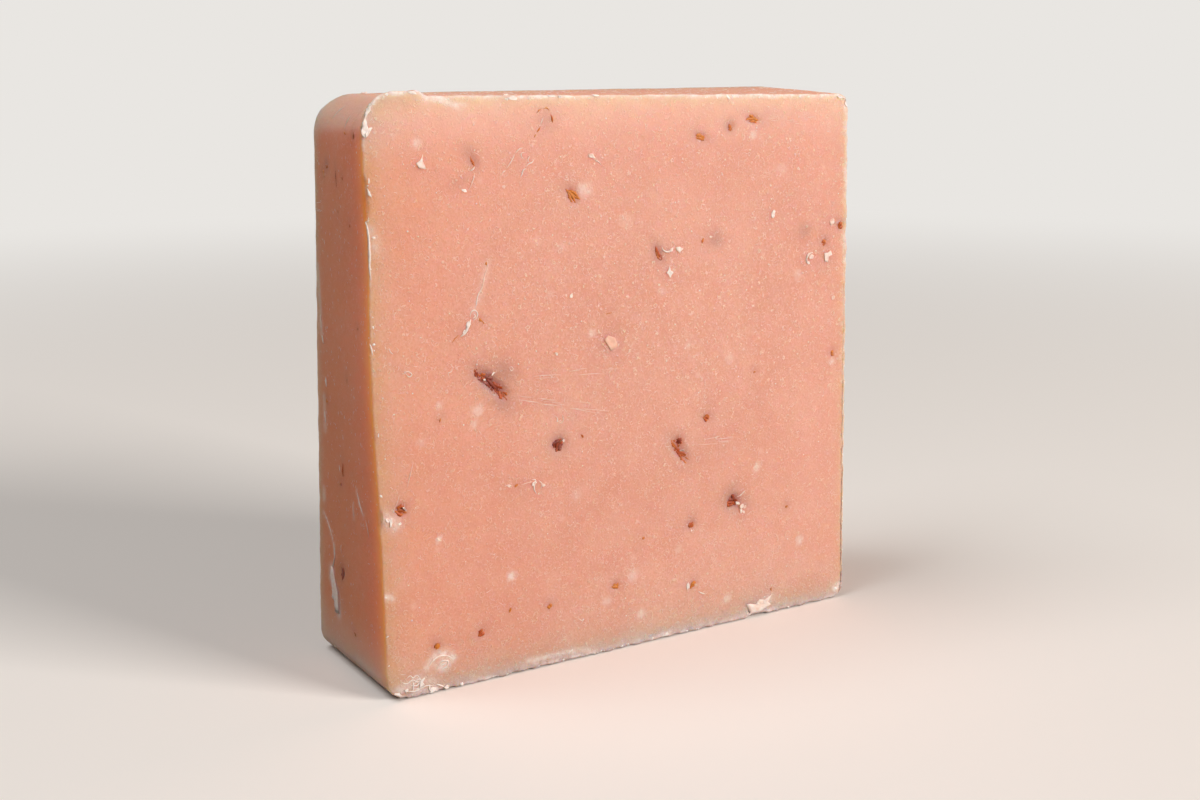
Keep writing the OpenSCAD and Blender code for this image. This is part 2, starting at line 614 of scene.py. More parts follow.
@dataclass(frozen=True)
class DriedPetal:
    """Dried flower petal that the lye has browned. Its veins show as dark lines along it."""

    name: str = "dried_petal_browned"
    dark: str = "#862A0A"
    rust: str = "#BC4E12"
    amber: str = "#DE822C"
    vein: str = "#481608"
    roughness: float = 0.42
    vein_mm: float = 0.3

    def material(self) -> bpy.types.Material:
        """Makes the material.

        Returns:
            The finished material.
        """
        made, tree = bare_material(self.name)
        place = add_node(tree, "ShaderNodeTexCoord").outputs["Object"]
        tone = add_node(tree, "ShaderNodeAttribute", attribute_name="tone").outputs["Fac"]
        ramp = add_node(tree, "ShaderNodeValToRGB", {0: tone})
        stops = ramp.color_ramp.elements
        stops[0].color, stops[1].color = linear(self.dark), linear(self.amber)
        stops.new(0.5).color = linear(self.rust)
        veins = add_node(
            tree, "ShaderNodeTexNoise", {"Vector": place, "Scale": 1 / (self.vein_mm * MM), "Detail": 3.0}
        ).outputs["Fac"]
        share = add_node(tree, "ShaderNodeMapRange", {0: veins, 1: 0.5, 2: 0.75, 4: 0.5}).outputs[0]
        colour = add_node(
            tree, "ShaderNodeMix", {0: share, 6: ramp.outputs[0], 7: linear(self.vein)}, data_type="RGBA"
        ).outputs[2]
        bump = add_node(
            tree, "ShaderNodeBump", {"Strength": 0.8, "Distance": 0.05 * MM, "Height": veins}
        ).outputs["Normal"]
        shader = add_node(
            tree,
            "ShaderNodeBsdfPrincipled",
            {
                "Base Color": colour,
                "Roughness": self.roughness,
                "IOR": 1.45,
                "Subsurface Weight": 0.3,
                "Subsurface Radius": (1.0, 0.4, 0.2),
                "Subsurface Scale": 0.4 * MM,
                "Normal": bump,
            },
        )
        add_node(tree, "ShaderNodeOutputMaterial", {"Surface": shader.outputs["BSDF"]})
        return made


@dataclass(frozen=True)
class Fleck:
    """One petal in a face: its place on the face, size, turn, tone and the stain that it has bled."""

    at: tuple[float, float]
    size: tuple[float, float]
    turn: float = 0.0
    tone: Tone = Tone.RUST
    stain: float = 0.0
    pit: float = 0.15
    face: Face = Face.FRONT


@dataclass(frozen=True)
class Scuff:
    """A rubbed or crumbled place that looks chalky: the line that it follows on a face, and its width."""

    path: tuple[tuple[float, float], ...]
    width: float
    strength: float = 0.6
    face: Face = Face.FRONT


@dataclass(frozen=True)
class Flake:
    """A thin flake of soap that clings to a face. One with an outline is torn to that shape."""

    at: tuple[float, float]
    size: tuple[float, float] = (1.0, 1.0)
    turn: float = 0.0
    tone: float = 0.8
    lift: float = 0.1
    face: Face = Face.FRONT
    outline: tuple[tuple[float, float], ...] = ()


@dataclass(frozen=True)
class Thread:
    """A curled thread of soap that the knife teased out: the line that it follows on a face."""

    path: tuple[tuple[float, float], ...]
    width: float = 0.16
    tone: float = 0.8
    face: Face = Face.FRONT


@dataclass(frozen=True)
class Chip:
    """A dish broken out of an edge: its place, the way that it faces, its width and its depth."""

    place: tuple[float, float, float]
    out: tuple[float, float, float]
    width: float
    depth: float
    chalk: float = 0.5


FLECKS = (
    Fleck((14.9, 36.7), (4.2, 1.1), -42, Tone.DARK, 0.9, 0.35),
    Fleck((16.3, 35.4), (1.7, 0.7), -50, Tone.RUST, 0.3, 0.15),
    Fleck((12.9, 38.3), (1.6, 0.45), -70, Tone.DARK, 0.4, 0.1),
    Fleck((13.8, 37.8), (0.8, 0.7), 20, Tone.RUST, 0.3, 0.1),
    Fleck((23.8, 28.2), (1.5, 1.3), 55, Tone.DARK, 0.6, 0.3),
    Fleck((27.2, 28.9), (0.5, 0.3), -30, Tone.RUST, 0.1, 0.05),
    Fleck((41.7, 25.0), (3.8, 0.9), -56, Tone.RUST, 0.4, 0.35),
    Fleck((41.7, 26.2), (1.5, 0.6), -50, Tone.DARK, 0.3, 0.2),
    Fleck((46.0, 28.8), (1.1, 0.7), -20, Tone.RUST, 0.2),
    Fleck((50.4, 16.8), (1.8, 1.3), -35, Tone.DARK, 0.9, 0.35),
    Fleck((43.6, 14.8), (0.9, 0.7), 60, Tone.RUST, 0.5),
    Fleck((26.2, 58.4), (2.1, 0.9), -48, Tone.AMBER, 0.25, 0.2),
    Fleck((13.1, 62.8), (1.3, 0.3), -62, Tone.RUST, 0.5),
    Fleck((44.9, 64.6), (2.0, 0.5), -18, Tone.AMBER, 0.3),
    Fleck((49.3, 65.7), (0.7, 0.5), 20, Tone.RUST, 0.6),
    Fleck((53.0, 66.6), (2.0, 0.7), -14, Tone.AMBER, 0.3, 0.2),
    Fleck((38.4, 50.6), (1.8, 0.5), -58, Tone.RUST, 0.6),
    Fleck((45.2, 51.8), (0.6, 0.3), 80, Tone.AMBER, 0.1, 0.05),
    Fleck((65.0, 50.3), (0.8, 0.7), 0, Tone.RUST, 0.4),
    Fleck((67.7, 52.3), (0.9, 0.6), 30, Tone.RUST, 0.4),
    Fleck((66.8, 35.2), (0.5, 0.5), 0, Tone.AMBER, 0.2, 0.08),
    Fleck((53.7, 34.0), (0.4, 0.3), 0, Tone.AMBER, 0.2, 0.08),
    Fleck((2.6, 23.3), (1.3, 0.9), -10, Tone.RUST, 0.3, 0.2),
    Fleck((12.6, 6.2), (1.0, 0.6), 25, Tone.RUST, 0.2),
    Fleck((31.8, 8.6), (1.3, 0.5), -20, Tone.AMBER, 0.2),
    Fleck((22.2, 7.8), (0.6, 0.4), -40, Tone.AMBER, 0.3, 0.05),
    Fleck((16.6, 8.3), (0.6, 0.25), 80, Tone.AMBER, 0.1, 0.05),
    Fleck((6.6, 5.8), (0.9, 0.5), 60, Tone.AMBER, 0.3, 0.05),
    Fleck((43.9, 6.5), (1.1, 0.6), 80, Tone.AMBER, 0.2),
    Fleck((36.1, 14.2), (0.45, 0.3), 0, Tone.AMBER, 0.1, 0.05),
    Fleck((8.0, 33.3), (0.5, 0.2), 70, Tone.AMBER, 0.2, 0.05),
    Fleck((59.4, 14.8), (0.6, 0.35), 40, Tone.AMBER, 0.2, 0.05),
    Fleck((17.9, 24.0), (0.5, 0.3), 20, Tone.AMBER, 0.1, 0.05),
    Fleck((13.7, 44.5), (1.1, 0.3), -45, Tone.AMBER, 0.1, 0.05),
    Fleck((14.5, 51.1), (0.4, 0.25), 70, Tone.AMBER, 0.1, 0.05),
    Fleck((10.3, 42.8), (1.2, 0.12), 50, Tone.AMBER, 0.1, 0.03),
    Fleck((31.3, 43.8), (1.1, 0.1), -5, Tone.AMBER, 0.1, 0.03),
    Fleck((57.0, 3.4), (0.6, 0.3), 80, Tone.AMBER, 0.1, 0.03),
    Fleck((12.9, 62.1), (0.5, 0.4), 70, Tone.RUST, 0.6, 0.1, Face.LEFT),
    Fleck((14.2, 61.3), (0.9, 0.5), 30, Tone.AMBER, 0.3, 0.1, Face.LEFT),
    Fleck((9.7, 61.0), (2.0, 0.12), 86, Tone.RUST, 0.3, 0.03, Face.LEFT),
    Fleck((7.6, 61.1), (0.6, 0.3), 60, Tone.RUST, 0.2, 0.05, Face.LEFT),
    Fleck((3.2, 66.0), (0.8, 0.4), 70, Tone.RUST, 0.3, 0.1, Face.LEFT),
    Fleck((4.0, 65.4), (1.0, 0.16), 60, Tone.AMBER, 0.1, 0.03, Face.LEFT),
    Fleck((6.1, 66.2), (0.7, 0.16), 20, Tone.AMBER, 0.1, 0.03, Face.LEFT),
    Fleck((5.7, 55.9), (0.5, 0.2), 80, Tone.RUST, 0.2, 0.03, Face.LEFT),
    Fleck((9.4, 57.2), (0.4, 0.18), 80, Tone.RUST, 0.1, 0.03, Face.LEFT),
    Fleck((13.0, 12.5), (1.9, 0.9), -60, Tone.DARK, 0.5, 0.2, Face.LEFT),
    Fleck((8.7, 37.5), (1.2, 0.14), 88, Tone.RUST, 0.2, 0.03, Face.LEFT),
    Fleck((15.9, 33.7), (0.8, 0.4), 80, Tone.AMBER, 0.3, 0.05, Face.LEFT),
    Fleck((4.2, 44.3), (0.5, 0.3), 60, Tone.RUST, 0.2, 0.03, Face.LEFT),
    Fleck((11.3, 26.2), (2.2, 0.12), 86, Tone.RUST, 0.2, 0.03, Face.LEFT),
    Fleck((12.3, 24.0), (0.5, 0.4), 80, Tone.RUST, 0.2, 0.05, Face.LEFT),
    Fleck((9.4, 5.6), (0.7, 0.3), 30, Tone.RUST, 0.2, 0.05, Face.LEFT),
    Fleck((17.2, 31.0), (2.6, 0.9), 35, Tone.DARK, 0.7, 0.3, Face.BACK),
    Fleck((49.0, 52.5), (1.7, 1.1), -20, Tone.RUST, 0.5, 0.2, Face.BACK),
    Fleck((33.5, 12.0), (1.3, 0.7), 60, Tone.AMBER, 0.3, 0.15, Face.BACK),
    Fleck((57.5, 27.0), (2.0, 0.6), -65, Tone.AMBER, 0.4, 0.2, Face.BACK),
    Fleck((27.0, 58.0), (1.1, 0.8), 10, Tone.RUST, 0.4, 0.15, Face.BACK),
    Fleck((9.0, 44.0), (0.8, 0.6), 0, Tone.RUST, 0.3, 0.1, Face.BACK),
    Fleck((41.0, 37.5), (0.7, 0.5), 40, Tone.AMBER, 0.2, 0.1, Face.BACK),
    Fleck((62.0, 62.0), (0.9, 0.5), -30, Tone.AMBER, 0.2, 0.1, Face.BACK),
    Fleck((22.0, 8.5), (0.7, 0.5), 25, Tone.RUST, 0.2, 0.1, Face.BACK),
    Fleck((8.5, 47.0), (1.5, 0.8), 65, Tone.RUST, 0.5, 0.2, Face.RIGHT),
    Fleck((13.0, 21.5), (0.9, 0.6), -30, Tone.AMBER, 0.3, 0.1, Face.RIGHT),
    Fleck((24.0, 9.0), (1.2, 0.7), 20, Tone.RUST, 0.4, 0.15, Face.TOP),
    Fleck((51.5, 6.0), (0.9, 0.5), -50, Tone.AMBER, 0.3, 0.1, Face.TOP),
)

# Stains with no petal in sight, which lies under the skin
BRUISES = (
    Fleck((47.2, 51.6), (1.3, 0.9), 0, Tone.DARK, 0.5),
    Fleck((61.6, 51.8), (1.0, 0.8), 0, Tone.DARK, 0.45),
    Fleck((12.7, 63.6), (1.0, 0.6), -50, Tone.DARK, 0.4),
    Fleck((16.4, 38.0), (2.6, 1.4), -35, Tone.DARK, 0.5),
    Fleck((49.9, 18.0), (1.5, 1.0), 60, Tone.DARK, 0.45),
    Fleck((11.2, 60.4), (2.2, 0.4), 18, Tone.AMBER, 0.2),
    Fleck((16.0, 34.4), (2.4, 1.0), -42, Tone.DARK, 0.5),
    Fleck((52.0, 16.2), (1.4, 1.2), -30, Tone.DARK, 0.35),
    Fleck((22.9, 67.2), (1.5, 1.6), 0, Tone.AMBER, 0.3),
)

# Soft pale clots in the front face: place, half width and strength
CLOTS = (
    (7.4, 3.4, 1.2, 0.55), (3.9, 1.7, 1.3, 0.35), (28.0, 58.9, 0.9, 0.45), (52.9, 64.7, 0.6, 0.5),
    (54.2, 21.0, 0.55, 0.6), (61.8, 9.6, 0.65, 0.6),
    (16.9, 12.7, 0.65, 0.65), (35.7, 4.1, 0.6, 0.5), (41.5, 11.8, 0.5, 0.4), (34.5, 9.5, 0.8, 0.35),
    (30.5, 6.9, 0.7, 0.35), (49.5, 3.5, 0.6, 0.4), (13.0, 33.9, 0.7, 0.5), (12.3, 32.3, 0.45, 0.55),
    (7.9, 35.2, 0.45, 0.45), (6.2, 65.1, 0.6, 0.45), (60.5, 46.4, 0.7, 0.4), (66.8, 34.0, 0.55, 0.5),
    (43.1, 38.6, 0.5, 0.4), (49.4, 36.3, 0.7, 0.3), (31.7, 39.9, 0.7, 0.5), (28.6, 41.5, 0.45, 0.55),
    (26.2, 21.5, 0.7, 0.25), (7.3, 19.0, 0.4, 0.8), (39.0, 45.9, 0.6, 0.25), (22.8, 46.8, 0.5, 0.3),
    (5.4, 31.0, 0.6, 0.25), (57.7, 60.2, 0.7, 0.25), (33.6, 55.0, 0.8, 0.2), (24.6, 52.3, 0.7, 0.2),
)

SCUFFS = (
    Scuff(((5.3, 3.5), (6.2, 4.6), (7.6, 4.8), (8.8, 4.0)), 0.5, 0.7),
    Scuff(((6.2, 3.6), (7.6, 3.2), (8.4, 3.7)), 0.6, 0.55),
    Scuff(((1.6, 1.3), (4.0, 2.2), (6.0, 1.4)), 0.7, 0.45),
    Scuff(((3.5, 0.9), (8.2, 0.5)), 0.5, 0.4),
    Scuff(((14.7, 51.3), (13.6, 47.6), (12.6, 45.6)), 0.4, 0.3),
    Scuff(((7.5, 70.0), (9.4, 69.7), (11.6, 68.9)), 0.3, 0.7),
    Scuff(((9.6, 69.8), (11.0, 69.4), (12.4, 69.2)), 0.25, 0.5),
    Scuff(((0.5, 0.3), (12.0, 0.6), (40.0, 0.6), (69.0, 0.6)), 0.9, 0.22),
    Scuff(((19.0, 1.2), (25.0, 1.2), (28.4, 0.8)), 0.4, 0.6),
    Scuff(((53.2, 0.8), (54.8, 1.2), (56.6, 2.0)), 0.75, 0.6),
    Scuff(((38.7, 0.5), (40.1, 0.6)), 0.5, 0.8),
    Scuff(((68.3, 1.4), (69.2, 2.0)), 0.7, 0.7),
    Scuff(((68.7, 58.0), (68.6, 66.0), (67.9, 69.0)), 0.4, 0.4),
    Scuff(((0.2, 55.6), (0.9, 53.6)), 0.7, 0.35),
    Scuff(((0.8, 22.6), (1.8, 21.6)), 0.8, 0.6),
    Scuff(((0.4, 13.2), (1.2, 12.9)), 0.35, 0.7),
    Scuff(((18.4, 18.9), (16.9, 17.8), (15.5, 15.8), (15.0, 14.2)), 0.3, 0.45, Face.LEFT),
    Scuff(((16.3, 12.0), (16.5, 10.8), (15.0, 9.3), (14.6, 6.9)), 0.7, 1.0, Face.LEFT),
    Scuff(((7.0, 24.6), (6.2, 22.8), (5.2, 21.8)), 0.3, 0.4, Face.LEFT),
    Scuff(((8.5, 22.5), (8.4, 20.7)), 0.3, 0.3, Face.LEFT),
    Scuff(((9.0, 2.0), (3.0, 1.4)), 1.2, 0.3, Face.LEFT),
    Scuff(((17.6, 50.0), (17.2, 46.0), (16.9, 42.0)), 0.5, 0.5, Face.LEFT),
    Scuff(((16.8, 34.0), (16.8, 30.0)), 0.5, 0.5, Face.LEFT),
    Scuff(((18.0, 22.0), (18.2, 20.8)), 0.5, 0.5, Face.LEFT),
    Scuff(((30.0, 50.0), (36.0, 47.0), (41.0, 45.5)), 0.7, 0.4, Face.BACK),
    Scuff(((12.0, 18.0), (15.0, 15.0)), 0.8, 0.4, Face.BACK),
    Scuff(((55.0, 9.0), (60.0, 8.0)), 0.8, 0.4, Face.BACK),
    Scuff(((10.0, 30.0), (9.0, 36.0)), 0.7, 0.45, Face.RIGHT),
)

# The first four flakes are the strip torn at the top left corner
FLAKES = (
    Flake(
        (0.4, 69.2), tone=0.95, lift=0.1, outline=(
            (0.27, 0.74), (-0.07, 0.34), (-0.47, -0.19), (-0.67, -0.84), (0.01, -0.86), (0.36, -0.44),
            (0.38, -0.01), (0.65, 0.37), (0.48, 0.53),
        ),
    ),
    Flake(
        (-0.1, 67.8), tone=0.85, lift=0.1, outline=(
            (-0.12, 0.8), (-0.35, -0.08), (-0.38, -0.8), (0.4, -0.75), (0.42, -0.2), (0.3, 0.17),
            (0.51, 0.7),
        ),
    ),
    Flake(
        (0.0, 66.5), tone=0.95, lift=0.1, outline=(
            (-0.46, 0.8), (-0.48, -0.07), (-0.44, -0.33), (0.01, -0.72), (0.43, -0.25), (0.5, 0.3),
            (0.3, 0.8),
        ),
    ),
    Flake(
        (0.0, 66.3), tone=1.0, lift=0.16, outline=(
            (0.0, 0.05), (0.05, -0.45), (0.43, -0.05), (0.87, 0.68), (0.62, 0.7),
        ),
    ),
    Flake(
        (40.1, 48.2), tone=1.0, outline=(
            (0.0, 0.75), (-0.2, 0.2), (-0.55, 0.0), (-0.15, -0.3), (0.05, -0.7), (0.3, -0.35),
            (0.55, 0.0), (0.15, 0.2),
        ),
    ),
    Flake(
        (6.7, 63.0), tone=0.75, outline=(
            (0.5, -0.75), (0.05, 0.1), (0.15, 0.9), (-0.25, 0.2), (-0.75, -0.1), (-0.4, -0.65),
        ),
    ),
    Flake((40.4, 51.0), (0.6, 0.5), 10, 0.7),
    Flake(
        (41.6, 50.9), tone=0.8, outline=(
            (-0.6, 0.35), (-0.45, -0.1), (-0.05, -0.35), (0.6, 0.1), (0.3, 0.2), (0.0, 0.4),
        ),
    ),
    Flake((46.4, 52.2), (0.4, 0.3), 0, 0.7),
    Flake((62.7, 48.5), (0.8, 0.7), 20, 0.6),
    Flake((62.2, 47.8), (0.6, 0.5), 60, 0.7),
    Flake(
        (65.5, 48.4), tone=0.65, outline=(
            (-0.6, 0.5), (-0.5, -0.6), (0.1, -0.8), (0.2, 0.0), (0.7, 0.2), (0.55, 0.75), (0.0, 0.5)
        ),
    ),
    Flake((66.2, 53.0), (1.0, 0.8), 70, 0.5, 0.04),
    Flake((66.6, 42.8), (0.6, 0.5), 20, 0.6),
    Flake((11.9, 44.2), (0.7, 0.6), 60, 0.9, 0.06),
    Flake((11.4, 43.4), (0.6, 0.5), 20, 0.9, 0.06),
    Flake((11.8, 59.7), (0.8, 0.4), -25, 1.0),
    Flake((28.9, 62.9), (1.0, 0.6), -30, 0.7),
    Flake((25.8, 46.4), (0.55, 0.5), 0, 0.9),
    Flake((56.3, 54.6), (1.0, 0.6), 80, 0.8),
    Flake((51.2, 16.5), (0.6, 0.5), -50, 0.7, 0.2),
    Flake((51.7, 16.1), (0.6, 0.6), 20, 0.6, 0.22),
    Flake((51.6, 15.4), (0.6, 0.5), 60, 0.8, 0.16),
    Flake((52.2, 15.9), (0.5, 0.4), 0, 0.5, 0.14),
    Flake((52.1, 15.2), (0.4, 0.4), 0, 0.7, 0.1),
    Flake((23.6, 39.6), (0.5, 0.35), -60, 0.8),
    Flake((20.2, 23.9), (0.7, 0.4), 30, 0.9),
    Flake((21.5, 23.5), (0.7, 0.4), -20, 0.6),
    Flake((16.8, 24.1), (0.5, 0.25), 10, 0.8),
    Flake(
        (31.4, 40.1), tone=0.0, lift=0.05, outline=(
            (-0.4, 1.0), (-1.0, 0.5), (0.0, -1.0), (1.0, -0.5), (0.6, 0.6),
        ),
    ),
    Flake((43.1, 6.4), (0.9, 0.35), 80, 1.0, 0.05),
    Flake((43.6, 14.0), (0.35, 0.25), 0, 0.9),
    # White flakes laid on the petals where they glint: painted highlights
    Flake((13.9, 37.4), (0.3, 0.25), 0, 1.0, 0.3),
    Flake((12.9, 39.4), (0.25, 0.2), 0, 0.9),
    Flake((15.0, 38.1), (0.5, 0.2), 30, 0.8, 0.2),
    Flake((42.2, 25.0), (0.6, 0.25), 20, 1.0, 0.3),
    Flake((24.5, 28.8), (0.3, 0.25), 0, 1.0, 0.3),
    Flake((3.1, 23.5), (0.6, 0.25), -50, 0.9, 0.3),
    Flake((7.3, 19.0), (0.9, 0.4), -20, 0.6, 0.02),
    Flake((2.4, 21.8), (0.4, 0.35), 0, 1.0),
    Flake((1.3, 22.0), (1.2, 0.25), 80, 0.9),
    Flake((0.9, 22.4), (0.9, 0.4), -40, 0.8),
    Flake(
        (54.9, 1.4), tone=0.65, lift=0.04, outline=(
            (-2.2, 0.7), (-1.7, -0.75), (-0.1, -1.0), (1.0, -0.5), (2.1, -0.15), (1.5, 0.3),
            (2.2, 1.3), (1.1, 0.7), (0.0, 0.95), (-0.6, 0.3), (-1.4, 0.6),
        ),
    ),
    Flake((39.5, 0.4), (1.2, 0.7), 10, 1.0, 0.0),
    Flake((1.3, 0.8), (1.2, 0.6), -10, 0.9, 0.0),
    Flake((68.3, 1.4), (0.6, 0.6), 0, 1.0, 0.0),
    Flake((0.2, 61.0), (1.1, 0.25), 75, 1.0, 0.04),
    Flake((0.25, 59.9), tone=1.0, lift=0.04, outline=((-0.2, 0.6), (-0.15, -0.2), (0.3, -0.5), (0.1, 0.1))),
    Flake((0.55, 55.0), (0.4, 0.25), 0, 1.0),
    Flake((18.3, 69.8), (1.5, 0.3), -4, 1.0),
    Flake((23.5, 69.95), (0.9, 0.28), 0, 1.0),
    Flake((24.6, 69.9), (0.45, 0.35), 0, 1.0, 0.14),
    Flake((48.9, 69.5), (0.8, 0.5), -45, 1.0, 0.02),
    Flake((67.1, 69.2), (1.5, 0.35), -8, 1.0),
    Flake((68.1, 68.3), (1.4, 0.3), -75, 1.0),
    Flake((2.7, 70.5), (0.5, 0.3), 30, 1.0, 0.05),
    Flake((5.5, 70.7), (1.3, 0.35), -12, 0.8, 0.05),
    Flake((1.05, 69.5), (0.35, 0.3), 0, 1.0, 0.12),
    Flake((6.9, 16.2), (0.7, 0.5), 0, 1.0, 0.15, Face.TOP),
    Flake((29.5, 69.95), (1.0, 0.24), 0, 1.0),
    Flake(
        (4.4, 1.75), tone=1.0, lift=0.16, outline=(
            (-0.3, -0.6), (0.4, -0.5), (0.2, 0.0), (0.5, 0.5), (-0.1, 0.3),
        ),
    ),
    Flake(
        (5.9, 0.45), tone=1.0, lift=0.1, outline=(
            (-0.5, 0.2), (-0.3, -0.35), (0.1, -0.3), (0.5, 0.1), (0.0, 0.4),
        ),
    ),
    Flake((7.6, 0.4), tone=1.0, lift=0.1, outline=((-0.3, 0.1), (0.0, -0.3), (0.4, -0.1), (0.3, 0.3))),
    Flake((2.5, 1.2), (0.6, 0.4), 30, 1.0, 0.1),
    Flake((17.7, 1.0), (0.6, 0.5), 0, 1.0, 0.15, Face.TOP),
    Flake(
        (15.6, 9.4), tone=0.7, lift=0.04, face=Face.LEFT, outline=(
            (1.0, 3.0), (0.3, 2.9), (-0.3, 1.2), (-1.3, -0.1), (-1.2, -2.6), (0.1, -2.8), (-0.1, -1.4),
            (0.9, -1.0), (0.8, 0.2), (1.3, 1.8),
        ),
    ),
    Flake((17.0, 43.4), (2.4, 0.4), 86, 0.6, 0.03, Face.LEFT),
    Flake((16.5, 41.3), (1.1, 0.4), 65, 0.6, 0.03, Face.LEFT),
    Flake((15.9, 36.1), (1.4, 0.4), 86, 0.8, 0.03, Face.LEFT),
    Flake((16.6, 31.6), (1.4, 0.4), 84, 0.6, 0.03, Face.LEFT),
    Flake((30.0, 42.0), (1.6, 0.7), 30, 0.8, 0.1, Face.BACK),
    Flake((52.0, 20.0), (1.2, 0.6), -40, 0.8, 0.1, Face.BACK),
    Flake((14.0, 60.0), (1.1, 0.6), 60, 0.8, 0.1, Face.BACK),
    Flake((6.0, 15.0), (1.0, 0.5), 60, 0.8, 0.05, Face.RIGHT),
)

# Places of white crumbs along the front of the foot
CRUMBS = (24.1, 29.5, 30.9, 32.7, 33.8, 37.5, 42.9, 44.5, 9.8, 14.2)

